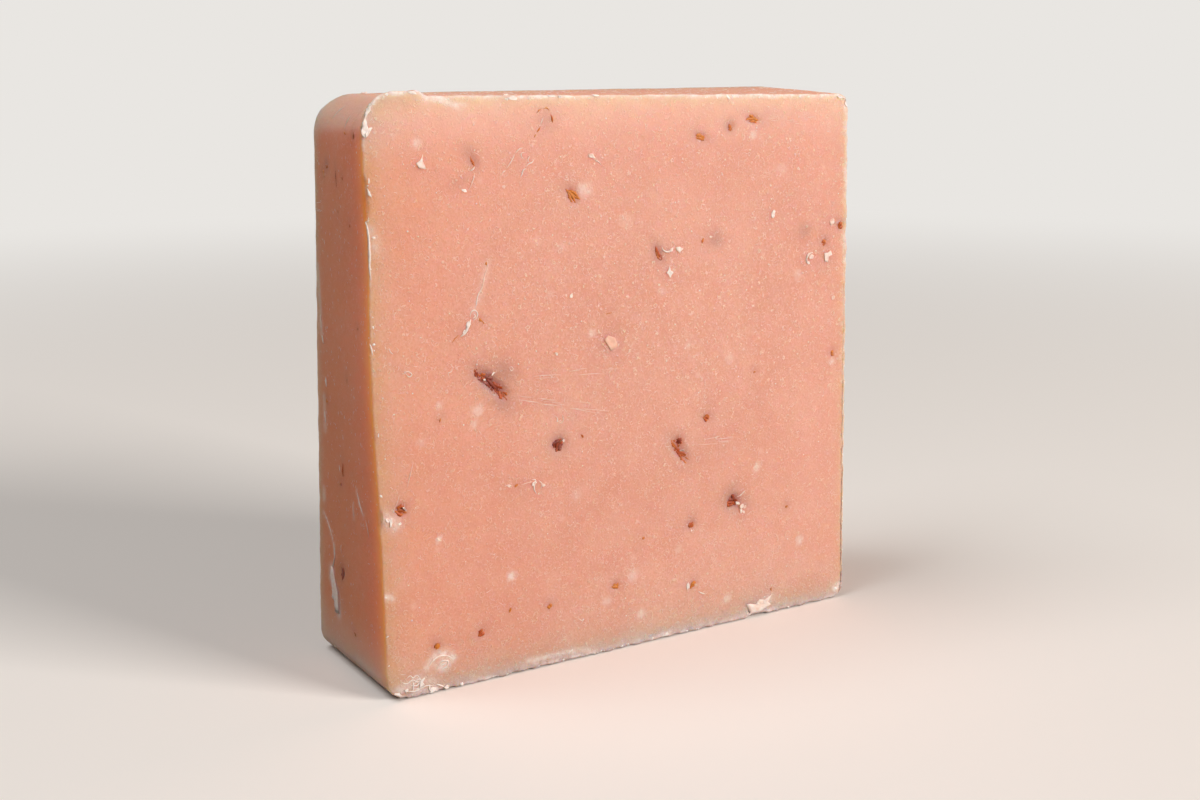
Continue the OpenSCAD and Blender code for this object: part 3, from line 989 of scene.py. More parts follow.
THREADS = (
    Thread(((12.9, 45.9), (13.1, 46.7), (13.2, 47.4), (13.8, 48.3)), 0.16, 0.9),
    Thread(((13.6, 47.6), (14.0, 48.8), (14.2, 49.8), (14.7, 50.7), (14.6, 51.5)), 0.14, 0.6),
    Thread(((12.2, 45.0), (12.3, 45.7), (12.8, 45.9), (13.2, 45.5), (13.1, 44.9), (12.6, 44.6)), 0.2, 0.9),
    Thread(((12.7, 45.4), (12.9, 45.2), (12.8, 44.9), (12.5, 44.9)), 0.16, 0.8),
    Thread(((12.3, 44.8), (11.9, 44.0), (11.5, 43.2), (10.9, 42.9)), 0.4, 1.0),
    Thread(((12.0, 44.6), (11.7, 44.2), (11.9, 43.5)), 0.3, 1.0),
    Thread(((19.7, 64.2), (19.1, 64.1), (18.6, 63.6)), 0.15, 0.9),
    Thread(((18.5, 63.5), (18.2, 62.9), (17.9, 62.5), (17.4, 61.9)), 0.14, 0.8),
    Thread(((17.3, 61.7), (16.9, 61.5), (16.7, 61.2)), 0.14, 0.9),
    Thread(((19.8, 63.6), (19.4, 63.7), (19.3, 63.2), (19.7, 62.9)), 0.15, 1.0),
    Thread(((21.1, 62.9), (20.8, 62.4), (20.3, 62.4), (20.0, 62.0)), 0.16, 1.0),
    Thread(((20.0, 61.8), (19.5, 61.7), (19.5, 61.2), (19.2, 60.8)), 0.17, 1.0),
    Thread(((20.5, 63.2), (20.2, 62.8), (20.4, 62.5)), 0.14, 1.0),
    Thread(((22.0, 66.8), (22.2, 67.2), (22.4, 67.6)), 0.12, 0.9),
    Thread(((13.3, 61.6), (13.1, 60.9), (12.7, 60.0), (12.4, 59.6)), 0.14, 0.6),
    Thread(((13.4, 62.3), (13.1, 62.0), (12.7, 61.8)), 0.2, 0.7),
    Thread(((28.9, 62.9), (29.4, 62.4), (30.0, 62.2), (30.3, 61.7)), 0.14, 0.7),
    Thread(((9.4, 39.9), (9.9, 39.4), (9.6, 38.8), (9.1, 38.9), (9.4, 38.1)), 0.13, 0.5),
    Thread(((3.4, 39.3), (4.1, 39.6), (4.7, 39.1), (4.2, 38.8), (3.8, 39.4)), 0.16, 0.7),
    Thread(((1.9, 42.5), (2.0, 42.0), (2.4, 41.7)), 0.16, 0.7),
    Thread(((2.5, 25.2), (2.2, 24.3), (1.7, 23.4), (1.4, 22.7)), 0.12, 0.5),
    Thread(((4.4, 28.9), (4.0, 27.6), (3.5, 25.9)), 0.12, 0.4),
    Thread(((16.2, 24.1), (16.8, 24.3), (17.2, 24.0)), 0.14, 0.7),
    Thread(((18.4, 24.0), (19.3, 24.1), (20.1, 24.2)), 0.12, 0.3),
    Thread(((19.9, 24.4), (20.6, 24.4), (20.3, 23.8), (20.2, 23.2), (20.6, 22.5)), 0.22, 0.9),
    Thread(((20.9, 24.2), (21.5, 23.6), (21.2, 23.1)), 0.16, 0.7),
    Thread(((23.3, 32.0), (23.8, 31.5), (23.5, 31.1), (24.2, 31.3)), 0.14, 0.7),
    Thread(((24.3, 32.0), (24.6, 31.4), (24.4, 30.9)), 0.14, 0.6),
    Thread(((17.2, 38.6), (17.6, 38.7), (17.8, 38.3), (17.5, 38.0), (17.2, 38.6)), 0.14, 0.6),
    Thread(((30.0, 40.3), (30.6, 39.6), (31.2, 38.8)), 0.12, 0.2),
    Thread(((44.7, 5.5), (45.2, 5.1), (45.8, 4.9)), 0.2, 0.7),
    Thread(((43.0, 6.0), (42.9, 6.6), (43.2, 7.0)), 0.26, 1.0),
    Thread(((50.9, 17.3), (51.6, 17.6), (52.4, 18.2)), 0.14, 0.8),
    Thread(((26.3, 5.4), (26.8, 4.9), (27.2, 5.3), (26.6, 4.5)), 0.16, 0.7),
    Thread(((24.6, 0.9), (25.1, 1.2), (25.5, 1.5), (25.1, 0.8)), 0.2, 0.9),
    Thread(((5.2, 3.2), (5.9, 4.1), (7.0, 4.6), (8.1, 4.3), (8.8, 3.6)), 0.22, 0.8),
    Thread(((6.6, 3.0), (7.2, 3.9), (8.1, 3.7), (7.9, 3.0), (7.1, 2.8)), 0.2, 0.9),
    Thread(((6.9, 3.3), (7.6, 3.4), (7.9, 3.9)), 0.16, 0.8),
    Thread(((1.9, 2.3), (2.6, 1.9), (3.3, 2.4), (3.9, 1.8), (4.7, 2.0)), 0.16, 0.9),
    Thread(((3.2, 1.2), (3.6, 2.0), (4.3, 2.3), (4.6, 1.5), (4.0, 1.0), (3.2, 1.2)), 0.16, 0.9),
    Thread(((2.0, 1.1), (3.6, 0.8), (5.0, 1.2), (6.4, 0.9)), 0.18, 0.8),
    Thread(((5.5, 1.2), (5.4, 0.6), (5.7, 0.2)), 0.3, 0.9),
    Thread(((6.3, 1.1), (6.9, 0.8), (7.5, 0.4)), 0.26, 0.8),
    Thread(((-0.3, 57.3), (-0.1, 56.0), (0.05, 54.7), (0.0, 52.6), (-0.05, 51.5), (0.05, 50.3)), 0.28, 1.0),
    Thread(((-0.35, 43.2), (-0.2, 42.5), (-0.1, 41.8)), 0.2, 0.9),
    Thread(((6.2, 66.7), (6.0, 67.4), (5.6, 68.2)), 0.14, 1.0, Face.LEFT),
    Thread(((11.2, 67.6), (10.6, 68.4), (9.8, 69.2)), 0.12, 0.9, Face.LEFT),
    Thread(((38.9, 51.5), (39.2, 50.9), (39.8, 50.7), (40.4, 50.9), (40.6, 51.3)), 0.26, 0.8),
    Thread(((63.0, 49.1), (62.3, 49.0), (61.9, 48.3), (62.2, 47.6)), 0.34, 0.8),
    Thread(((2.5, 2.6), (3.1, 3.0), (3.3, 2.4), (3.9, 2.9), (4.3, 2.2)), 0.16, 1.0),
    Thread(((3.0, 1.7), (3.8, 1.4), (4.4, 1.9), (4.9, 1.3)), 0.18, 1.0),
    Thread(((3.3, 2.2), (3.4, 1.5), (3.3, 0.9)), 0.2, 1.0),
    Thread(((4.2, 2.1), (4.3, 1.4), (4.2, 0.8)), 0.2, 1.0),
    Thread(((6.8, 24.3), (6.4, 23.4), (5.9, 22.6), (5.2, 21.8)), 0.2, 0.7, Face.LEFT),
    Thread(((4.6, 21.5), (4.1, 20.6), (3.8, 19.5)), 0.14, 0.5, Face.LEFT),
    Thread(((8.5, 22.6), (8.5, 21.7), (8.4, 20.7)), 0.12, 0.5, Face.LEFT),
    Thread(((12.5, 26.4), (12.3, 25.5)), 0.14, 0.5, Face.LEFT),
    Thread(((18.4, 19.1), (17.7, 18.5), (16.9, 17.8), (16.1, 16.9), (15.5, 15.8)), 0.14, 0.6, Face.LEFT),
    Thread(((15.5, 15.8), (15.2, 15.0), (15.1, 14.1), (15.6, 13.1), (16.2, 12.0)), 0.26, 0.8, Face.LEFT),
    Thread(((13.0, 16.1), (12.9, 15.0)), 0.14, 0.5, Face.LEFT),
)

# Petals that dried to a loop, as threads whose tone runs from dark to amber
LOOPS = (
    Thread(((21.6, 68.15), (21.8, 68.4), (22.1, 68.5)), 0.16, 1.0),
    Thread(((22.4, 68.55), (22.8, 68.7), (23.05, 68.6), (23.2, 68.3)), 0.14, 1.0),
    Thread(((23.4, 67.9), (23.6, 67.4), (23.6, 66.95)), 0.26, 0.8),
    Thread(((22.0, 66.5), (21.8, 66.2), (21.5, 65.9)), 0.16, 1.0),
    Thread(((21.4, 65.7), (21.1, 65.3)), 0.12, 1.0),
    Thread(((38.9, 50.5), (39.1, 49.9), (38.7, 49.7), (38.4, 50.3)), 0.16, 0.4),
)

CHIPS = (
    Chip((-0.25, 0.33, 59.0), (-1, -1, 0), 6.5, 0.4, 0.0),
    Chip((-0.1, 0.12, 22.4), (-1, -1, 0), 3.4, 0.45, 0.2),
    Chip((-0.05, 0.04, 7.0), (-1, -1, 0), 2.6, 0.25, 0.0),
    Chip((54.6, 0.0, 0.0), (0, -1, -1), 4.6, 0.5, 0.9),
    Chip((39.3, 0.0, 0.0), (0, -1, -1), 2.0, 0.3, 0.8),
    Chip((48.4, 0.0, 0.0), (0, -1, -1), 1.6, 0.25, 0.6),
    Chip((67.1, 0.0, 0.0), (0, -1, -1), 1.5, 0.35, 0.8),
    Chip((69.4, 0.0, 0.6), (1, -1, -1), 2.6, 0.4, 0.9),
    Chip((50.4, 0.4, 70.0), (0, -1, 1), 1.0, 0.3, 0.8),
    Chip((62.9, 0.4, 69.9), (0, -1, 1), 2.0, 0.25, 0.3),
)


@dataclass
class SoapBlock:
    """The bar's body: a slice between two rounded cut faces, with its waves, wear, pits and lip."""

    foot_w: float = 70.0
    bar_h: float = 70.4
    foot_t: float = 21.5
    top_t: float = 16.9
    front_lean: float = 0.4
    left_out: float = 0.5
    left_in: float = 0.65
    right_in: float = 1.1
    top_fall: float = 0.7
    top_rise: float = 0.8
    front_radii: tuple[float, float, float, float] = (2.7, 2.0, 2.2, 4.3)
    back_radii: tuple[float, float, float, float] = (2.7, 2.0, 2.2, 5.0)
    across: int = 180
    edge_rows: int = 5
    depth_rows: int = 34
    lip_l: float = 7.0
    lip_h: float = 0.55
    lip_d: float = 1.9
    # How far the skin lies inside the solid, to leave room for its waves
    sunk: float = 0.07
    # How far the front left edge strays from straight, by height
    left_bow: tuple[tuple[float, float], ...] = (
        (10.8, 0.08), (24, -0.03), (33, -0.19), (42, -0.21), (51, 0.13), (63.5, 0.07), (67, 0)
    )
    seed: int = 11

    @property
    def shift(self) -> Array:
        """What takes the foot's front left corner to the row frame's origin."""
        return -np.array([(self.foot_w - self.left_out) / 2, self.foot_t / 2, 0])

    def front_y(self, z: Array) -> Array:
        """Depth of the front face at a height."""
        return self.front_lean * z / self.bar_h

    def back_y(self, z: Array) -> Array:
        """Depth of the back face at a height."""
        return self.foot_t - (self.foot_t - self.top_t - self.front_lean) * z / self.bar_h

    def _outline(self, depth: float) -> tuple[Array, Array]:
        """Outline of the slice at a share of its depth, from the middle of the foot's left corner.

        Args:
            depth: 0 at the front and 1 at the back.

        Returns:
            The outline's points across and up, and the way that each faces.
        """
        left = -self.left_out * (1 - depth) + self.left_in * depth
        top = self.bar_h - self.top_fall + self.top_rise * depth
        corners = ((0, 0), (self.foot_w, 0), (self.foot_w - self.right_in, top), (left, self.bar_h))
        radii = [a + (b - a) * depth for a, b in zip(self.front_radii, self.back_radii)]
        inward = ((1, 1), (-1, 1), (-1, -1), (1, -1))
        centres = [np.array(c) + np.array(i) * r for c, i, r in zip(corners, inward, radii)]
        points, normals, bend_steps = [], [], 12
        for side in range(4):
            start, end = side, (side + 1) % 4
            middle = math.radians(225 + 90 * side)
            bends = np.radians(np.linspace(0, 45, bend_steps))
            angles = np.concatenate([middle + bends, middle + math.pi / 2 - bends[::-1]])
            ways = np.stack([np.cos(angles), np.sin(angles)], 1)
            near = np.repeat([centres[start], centres[end]], bend_steps, axis=0)
            size = np.repeat([radii[start], radii[end]], bend_steps)[:, None]
            line = near + ways * size
            run = np.concatenate([[0], np.cumsum(np.linalg.norm(np.diff(line, axis=0), axis=1))])
            fine = np.linspace(0, run[-1], 2001)
            # Points lie closer together by the corners
            crowd = 1 + 1.6 * (np.exp(-fine / 3) + np.exp(-(run[-1] - fine) / 3))
            share = np.concatenate([[0], np.cumsum((crowd[1:] + crowd[:-1]) / 2)])
            stops = np.interp(np.arange(self.across) / self.across * share[-1], share, fine)
            points.append(np.stack([np.interp(stops, run, line[:, i]) for i in (0, 1)], 1))
            normals.append(np.stack([np.interp(stops, run, ways[:, i]) for i in (0, 1)], 1))
        return np.concatenate(points), unit(np.concatenate(normals))

    def _edge_break(self, ring: Array, grain: Grain, front: bool) -> Array:
        """Width of the worn edge round one cut face.

        Args:
            ring: the outline's points in space.
            grain: noise that makes the wear uneven.
            front: whether it is the front face.

        Returns:
            A width for each point of the outline.
        """
        side = np.arange(4 * self.across) // self.across
        # By side: foot, right, top and left
        base = np.array([0.34, 0.8, 0.24, 0.3] if front else [0.45, 0.5, 0.45, 0.5])[side]
        uneven = grain.fine(ring, 2.4, 3)
        return base * np.clip(1 + 0.45 * uneven, 0.5, 1.6)

    def _coons(self, ring: Array) -> Array:
        """Fills a ring with a grid whose lines follow its four sides.

        Args:
            ring: the outline's points, four sides of equal count.

        Returns:
            A square grid of points, by place across and then up.
        """
        n = self.across
        bottom, right = ring[: n + 1], ring[n : 2 * n + 1]
        top = ring[2 * n : 3 * n + 1][::-1]
        left = np.concatenate([ring[3 * n :], ring[:1]])[::-1]
        u = np.linalg.norm(bottom - bottom[0], axis=1)
        v = np.linalg.norm(left - left[0], axis=1)
        u, v = (u / u[-1])[:, None, None], (v / v[-1])[None, :, None]
        flat = (1 - v) * bottom[:, None] + v * top[:, None] + (1 - u) * left[None] + u * right[None]
        ends = (1 - u) * (1 - v) * bottom[0] + u * (1 - v) * bottom[-1]
        return flat - ends - (1 - u) * v * top[0] - u * v * top[-1]

    def _rows(self, grain: Grain) -> tuple[list[Array], list[Array]]:
        """Rings of points from the front face's edge to the back face's.

        Args:
            grain: noise that makes the worn edges uneven.

        Returns:
            The rings, and each point's distance from the front and back edges.
        """
        rings, reach = [], []
        bend = np.linspace(0, math.pi / 2, self.edge_rows)
        ramp = np.linspace(0, 1, self.depth_rows + 2)[1:-1]
        steps = [("front", a) for a in bend] + [("side", s) for s in ramp]
        steps += [("back", a) for a in bend[::-1]]
        for kind, value in steps:
            if kind == "side":
                share = 0.4 * (0.5 - 0.5 * math.cos(math.pi * value)) + 0.6 * value
            else:
                share = float(kind == "back")
            outline, ways = self._outline(share)
            solid = np.stack([outline[:, 0], share * self.foot_t + 0 * outline[:, 0], outline[:, 1]], 1)
            front, back = self.front_y(outline[:, 1]), self.back_y(outline[:, 1])
            worn = {f: self._edge_break(solid, grain, f) for f in (True, False)}
            if kind == "side":
                inset = 0.0
                depth = front + worn[True] + share * (back - front - worn[True] - worn[False])
            else:
                cut = worn[kind == "front"]
                inset = (cut * (1 - math.sin(value)))[:, None]
                sink = cut * (1 - math.cos(value))
                depth = front + sink if kind == "front" else back - sink
            flat = outline - ways * inset
            rings.append(np.stack([flat[:, 0], depth, flat[:, 1]], 1))
            reach.append(np.stack([depth - front, back - depth], 1))
        return rings, reach

    def _skin(self, grain: Grain) -> tuple[Array, Array, Array]:
        """The bar's closed skin before wear.

        Args:
            grain: noise for the worn edges.

        Returns:
            Its points, its four-cornered faces, and each point's distance from the front and back edges.
        """
        n, around = self.across, 4 * self.across
        rings, reach = self._rows(grain)
        points, reach = np.concatenate(rings), np.concatenate(reach)
        faces = []
        ring = np.arange(around)
        after = (ring + 1) % around
        for row in range(len(rings) - 1):
            low, high = row * around, (row + 1) * around
            faces.append(np.stack([low + ring, high + ring, high + after, low + after], 1))
        for row, turn in ((0, 1), (len(rings) - 1, -1)):
            grid = self._coons(rings[row])
            index = np.full((n + 1, n + 1), -1)
            index[:n, 0], index[n, :n] = ring[:n], ring[n : 2 * n]
            index[1:, n], index[0, 1:] = ring[2 * n : 3 * n][::-1], ring[3 * n :][::-1]
            index[index >= 0] += row * around
            inner = grid[1:n, 1:n].reshape(-1, 3)
            index[1:n, 1:n] = len(points) + np.arange(len(inner)).reshape(n - 1, n - 1)
            to_edge = self._nearest(inner[:, [0, 2]], rings[row][:, [0, 2]])
            both = np.stack([to_edge, np.full(len(inner), self.top_t)], 1)
            reach = np.concatenate([reach, both[:, ::turn]])
            inner[:, 1] = self.front_y(inner[:, 2]) if turn > 0 else self.back_y(inner[:, 2])
            points = np.concatenate([points, inner])
            quads = np.stack([index[:-1, :-1], index[1:, :-1], index[1:, 1:], index[:-1, 1:]], 2)
            faces.append(quads.reshape(-1, 4)[:, ::turn])
        return points, np.concatenate(faces), reach

    @staticmethod
    def _nearest(points: Array, line: Array) -> Array:
        """Distance of each point from the nearest point of a line."""
        parts = np.array_split(points, 40)
        return np.concatenate(
            [np.sqrt(((p[:, None] - line[None]) ** 2).sum(2).min(1)) for p in parts]
        )

    @staticmethod
    def _normals(points: Array, faces: Array) -> Array:
        """The way that the skin faces at each of its points.

        Args:
            points: the skin's points.
            faces: its four-cornered faces.

        Returns:
            A way of length one for each point.
        """
        a, b, c, d = (points[faces[:, i]] for i in range(4))
        ways = np.cross(c - a, d - b)
        total = np.zeros_like(points)
        for i in range(4):
            np.add.at(total, faces[:, i], ways)
        return unit(total)

    @staticmethod
    def on_face(points: Array, normals: Array, face: Face) -> tuple[Array, Array, Array]:
        """Places on one face, and how squarely each point faces that way.

        Args:
            points: points in space.
            normals: the way that each faces.
            face: the face that they are seen from.

        Returns:
            Two places along the face for each point, and a share of 0 to 1.
        """
        facing = fade(normals @ np.array(face.value, float), 0.5, 0.9)
        if face in (Face.FRONT, Face.BACK):
            return points[:, 0], points[:, 2], facing
        if face is Face.TOP:
            return points[:, 0], points[:, 1], facing
        return points[:, 1], points[:, 2], facing

    def _by_fleck(
        self, points: Array, normals: Array, fleck: Fleck, raised: float = 0.0
    ) -> tuple[Array, Array, Array]:
        """Places measured from a petal's middle.

        Args:
            points: points in space.
            normals: the way that each faces.
            fleck: the petal.
            raised: how far above its middle they are measured from.

        Returns:
            How far along and beside the petal each point is, and how squarely it faces the petal's way.
        """
        a, b, facing = self.on_face(points, normals, fleck.face)
        c, s = math.cos(math.radians(fleck.turn)), math.sin(math.radians(fleck.turn))
        a, b = a - fleck.at[0], b - fleck.at[1] - raised
        return a * c + b * s, b * c - a * s, facing

    def _sink(self, points: Array, normals: Array) -> Array:
        """Presses the petals' pits into the faces.

        Args:
            points: the skin's points.
            normals: the way that each faces.

        Returns:
            The points with the pits pressed in.
        """
        for fleck in FLECKS:
            along, beside, facing = self._by_fleck(points, normals, fleck)
            half_along, half_beside = 0.55 * fleck.size[0] + 0.15, 0.6 * fleck.size[1] + 0.2
            away = (along / half_along) ** 2 + (beside / half_beside) ** 2
            depth = fleck.pit * np.clip(1.2 - away, 0, 1) ** 0.7 * facing
            points = points - np.array(fleck.face.value) * depth[:, None]
        return points

    def _break_edges(self, points: Array, grain: Grain) -> tuple[Array, Array]:
        """Breaks the chips out of the edges.

        Args:
            points: the skin's points.
            grain: noise that makes the breaks rough.

        Returns:
            The points with the chips broken out, and how chalky each is.
        """
        chalk = np.zeros(len(points))
        rough = grain.fine(points, 0.9, 3)
        for chip in CHIPS:
            radius = (chip.width**2 / 4 + chip.depth**2) / (2 * chip.depth)
            centre = np.array(chip.place) + unit(np.array(chip.out, float)) * (radius - chip.depth)
            away = points - centre
            length = np.linalg.norm(away, axis=1)
            wall = radius + 0.35 * chip.depth * rough
            inside = length < wall
            points = np.where(inside[:, None], centre + unit(away) * wall[:, None], points)
            chalk = np.maximum(chalk, chip.chalk * fade(wall - length, -0.12, 0.15))
        return points, chalk

    def _lip(self, points: Array, grain: Grain) -> Array:
        """Draws up the lip at the top left, which the knife smeared over the edge.

        Args:
            points: the skin's points.
            grain: noise that makes the lip uneven.

        Returns:
            The points with the lip raised.
        """
        x, y, z = points.T
        back = 1 - fade(y - self.front_y(z), 0.5, self.lip_d)
        along = fade(x, -0.7, 0.2) * (1 - fade(x, self.lip_l - 0.8, self.lip_l + 0.7))
        up = self.lip_h * along * back * fade(z, self.bar_h - 4, self.bar_h - 1.2)
        up *= 1 + 0.18 * grain.at(points, 1.6)
        out = 0.22 * along * back * fade(z, self.bar_h - 2.4, self.bar_h - 0.6)
        return points + np.stack([0 * up, -out, up], 1)

    def _wear(self, points: Array, normals: Array, reach: Array) -> dict[str, Array]:
        """How strongly each mark shows at each point.

        Args:
            points: the skin's points.
            normals: the way that each faces.
            reach: the distance of each point from the front and back edges.

        Returns:
            The marks by name, from 0 to 1.
        """
        grain = Grain(self.seed + 5)
        patches = grain.fine(points, 3.0, 3)
        chalk, bared = self._rubbed(points, normals, patches)
        marks = {
            "stain": self._stains(points, normals),
            "chalk": chalk,
            "rim": self._rims(points, reach, grain),
            **self._painted_light_and_tints(points, normals, reach, patches=patches, bared=bared),
            "bared": bared,
            "curdy": 0.62 + 0.33 * fade(points[:, 2], 18, 45),
        }
        return {name: np.clip(values, 0, 1) for name, values in marks.items()}

    def _stains(self, points: Array, normals: Array) -> Array:
        """Stains that petals have bled into the soap round them, a little above their middles.

        Args:
            points: the skin's points.
            normals: the way that each faces.

        Returns:
            How stained each point is.
        """
        stain = np.zeros(len(points))
        for fleck in FLECKS + BRUISES:
            along, beside, facing = self._by_fleck(points, normals, fleck, raised=0.25)
            half_along, half_beside = 0.55 * fleck.size[0] + 0.6, 0.55 * fleck.size[1] + 0.6
            away = (along / half_along) ** 2 + (beside / half_beside) ** 2
            stain = np.maximum(stain, fleck.stain * np.exp(-away) * facing)
        return stain

    def _rubbed(self, points: Array, normals: Array, patches: Array) -> tuple[Array, Array]:
        """Pale clots and scuffs. Those on the shaded left side lay paler soap bare.

        Args:
            points: the skin's points.
            normals: the way that each faces.
            patches: noise that makes the clots uneven.

        Returns:
            How chalky and how bared each point is.
        """
        chalk, bared = np.zeros(len(points)), np.zeros(len(points))
        a, b, facing = self.on_face(points, normals, Face.FRONT)
        for across, up, half, strength in CLOTS:
            away = ((a - across) ** 2 + (b - up) ** 2) / half**2 * (1 + 0.6 * patches)
            chalk = np.maximum(chalk, strength * np.exp(-(away**2)) * facing)
        for scuff in SCUFFS:
            a, b, facing = self.on_face(points, normals, scuff.face)
            away = self._from_path(np.stack([a, b], 1), np.array(scuff.path))
            worn = scuff.strength * np.exp(-((away / scuff.width) ** 2)) * facing
            if scuff.face is Face.LEFT:
                bared = np.maximum(bared, worn)
            else:
                chalk = np.maximum(chalk, worn)
        return chalk, bared

    @staticmethod
    def _rims(points: Array, reach: Array, grain: Grain) -> Array:
        """White rims of crumbled soap along both cut faces' edges, widest at the upper right.

        Args:
            points: the skin's points.
            reach: the distance of each point from the front and back edges.
            grain: noise that breaks the rims up.

        Returns:
            How white each point is.
        """
        x, _, z = points.T
        top = fade(z, 66, 69.5)
        right = fade(x, 67, 69.5)
        foot = 1 - fade(z, 0.5, 2.5)
        left = (1 - fade(x, 0.5, 2.5)) * (1 - top)
        broken = fade(grain.fine(points, 1.6, 3), -0.25, 0.35)
        high = fade(z, 42, 47)
        width = 0.16 + 0.1 * top + (0.1 + 0.6 * high) * right + 0.2 * foot
        strength = 0.3 + 0.4 * top + (0.3 * high - 0.1) * right + 0.2 * foot - 0.25 * left * (1 - high)
        front = strength * np.exp(-((reach[:, 0] / width) ** 2)) * (0.25 + 0.9 * broken)
        back = 0.5 * np.exp(-((reach[:, 1] / 0.5) ** 2)) * (0.2 + 0.9 * broken)
        return np.clip(np.maximum(front, back), 0, 1)

    @staticmethod
    def _painted_light_and_tints(
        points: Array, normals: Array, reach: Array, *, patches: Array, bared: Array
    ) -> dict[str, Array]:
        """Painted light and shade in the soap, and a few tints: painted warmth where light comes through by
        the front's left edge, a painted orange glow and deeper shade on the left side and top, painted pale
        light on the front's top band, the rounded top left corner and the left side's back rim, a pale foot
        on the left side, the bared scuffs, and coral over the front's left part.

        Args:
            points: the skin's points.
            normals: the way that each faces.
            reach: the distance of each point from the front and back edges.
            patches: noise that makes the tints uneven.
            bared: where scuffs lay the soap bare.

        Returns:
            The painted light, shade and tints by name.
        """
        x, _, z = points.T
        below_corner, above_foot = 1 - fade(z, 64, 67), fade(z, 0.5, 4)
        near_back = np.exp(-((reach[:, 1] / 1.5) ** 2))
        level = np.clip(normals @ np.array(Face.FRONT.value, float), 0, 1)
        beside = np.clip(normals @ np.array(Face.LEFT.value, float), 0, 1)
        by_left = np.exp(-np.clip(x, 0, 20) / 4.5) * level
        # Painted light: a warm tint on the front where light comes through by its left edge
        painted_edge_light = by_left * (0.5 + 0.2 * fade(z, 51, 55) * below_corner) * (0.85 + 0.5 * patches)
        painted_edge_light = (painted_edge_light + 0.3 * level * np.exp(-((x / 1.2) ** 2))) * (1 - fade(z, 62, 67))
        near_front = np.exp(-((reach[:, 0] / 2.0) ** 2))
        # Painted glow: an orange strip down the left side beside the front edge
        painted_edge_glow = fade(beside, 0.7, 1.0) * near_front * above_foot * below_corner
        # Painted glow and painted shade: the left side, less by its back edge, and the top face tinted
        # deeper orange
        painted_glow_and_shade = (1 - 0.35 * near_back) * beside * above_foot
        painted_glow_and_shade *= 1 - 0.5 * fade(z, 64, 67.5)
        painted_glow_and_shade += 0.55 * fade(normals[:, 2], 0.5, 0.95)
        # Painted light: pale on the front's top band, the rounded top left corner and the left side's back
        # rim; also a pale foot on the left side and the bared scuffs
        band = fade(normals[:, 2], 0.04, 0.3) * beside ** 0.2 * (1 - fade(x, 4, 7)) * fade(z, 60, 66)
        painted_pale_light_and_scuffs = fade(z, 62, 69.8) * level * (1 - fade(x, 66, 69.5)) * (0.85 + 0.3 * patches) + 0.8 * band
        painted_pale_light_and_scuffs += 0.9 * beside * (1 - fade(z, 0.5, 10)) + bared
        painted_pale_light_and_scuffs += 0.35 * beside * near_back
        across = level * fade(x, 0, 5) * (1 - fade(x, 6, 32))
        coral = across * (1 - fade(z, 65, 69)) * fade(z, 1, 5)
        return {"painted_edge_light": painted_edge_light, "painted_glow_and_shade": painted_glow_and_shade, "painted_edge_glow": painted_edge_glow, "painted_pale_light_and_scuffs": painted_pale_light_and_scuffs, "coral": coral}

    @staticmethod
    def _from_path(places: Array, path: Array) -> Array:
        """Distance of places on a face from a line.

        Args:
            places: two places along the face for each point.
            path: the line's points on the face.

        Returns:
            One distance for each place.
        """
        best = np.full(len(places), np.inf)
        for a, b in zip(path[:-1], path[1:]):
            run = b - a
            t = np.clip((places - a) @ run / max(run @ run, 1e-9), 0, 1)
            best = np.minimum(best, np.linalg.norm(places - a - t[:, None] * run, axis=1))
        return best

    def build(self, finish: bpy.types.Material) -> tuple[bpy.types.Object, BVHTree]:
        """Builds the body.

        Args:
            finish: the soap's material.

        Returns:
            The piece, and a tree of its skin in millimetres from the foot's corner.
        """
        grain = Grain(self.seed)
        points, faces, reach = self._skin(grain)
        normals = self._normals(points, faces)
        square = np.abs(normals).max(1)
        near_edge = np.exp(-((reach[:, 0] / 0.6) ** 2)) * (1 - fade(square, 0.985, 1.0) * 0.3)
        # Waves of the blade, crumbs of curd, and edges that crumble most at the foot
        waves = 0.05 * grain.at(points, 14) + 0.03 * grain.at(points, 5)
        crumbs = 0.022 * grain.fine(points, 1.3, 2)
        ragged = 0.13 * grain.fine(points, 1.5, 3) * near_edge * (2.2 - 1.2 * fade(points[:, 2], 0.3, 1.5))
        points = points + normals * (waves + crumbs + ragged - self.sunk)[:, None]
        heights, strays = np.array(self.left_bow).T
        bow = np.interp(points[:, 2], heights, strays, left=0.0, right=0.0)
        points[:, 0] += bow * (1 - fade(points[:, 0], 0.5, 3)) * (1 - fade(points[:, 1], 1, 9))
        # The back of the top left corner is squarer than the front
        square_off = 0.25 * np.exp(-(((points[:, 2] - 68.2) / 1.4) ** 2)) * fade(points[:, 1], 8, 15)
        points[:, 0] -= square_off * (1 - fade(points[:, 0], 1.5, 4.5))
        points = self._lip(points, grain)
        points, chalk = self._break_edges(points, grain)
        points = self._sink(points, normals)
        marks = self._wear(points, normals, reach)
        marks["chalk"] = np.maximum(marks["chalk"], chalk)
        shape = Shape()
        shape.add(points, faces, **marks)
        made = shape.piece("soap_block", finish, box=cad_box, shift=self.shift)
        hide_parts(CAD_NODE)
        return made, BVHTree.FromPolygons(points.tolist(), faces.tolist())


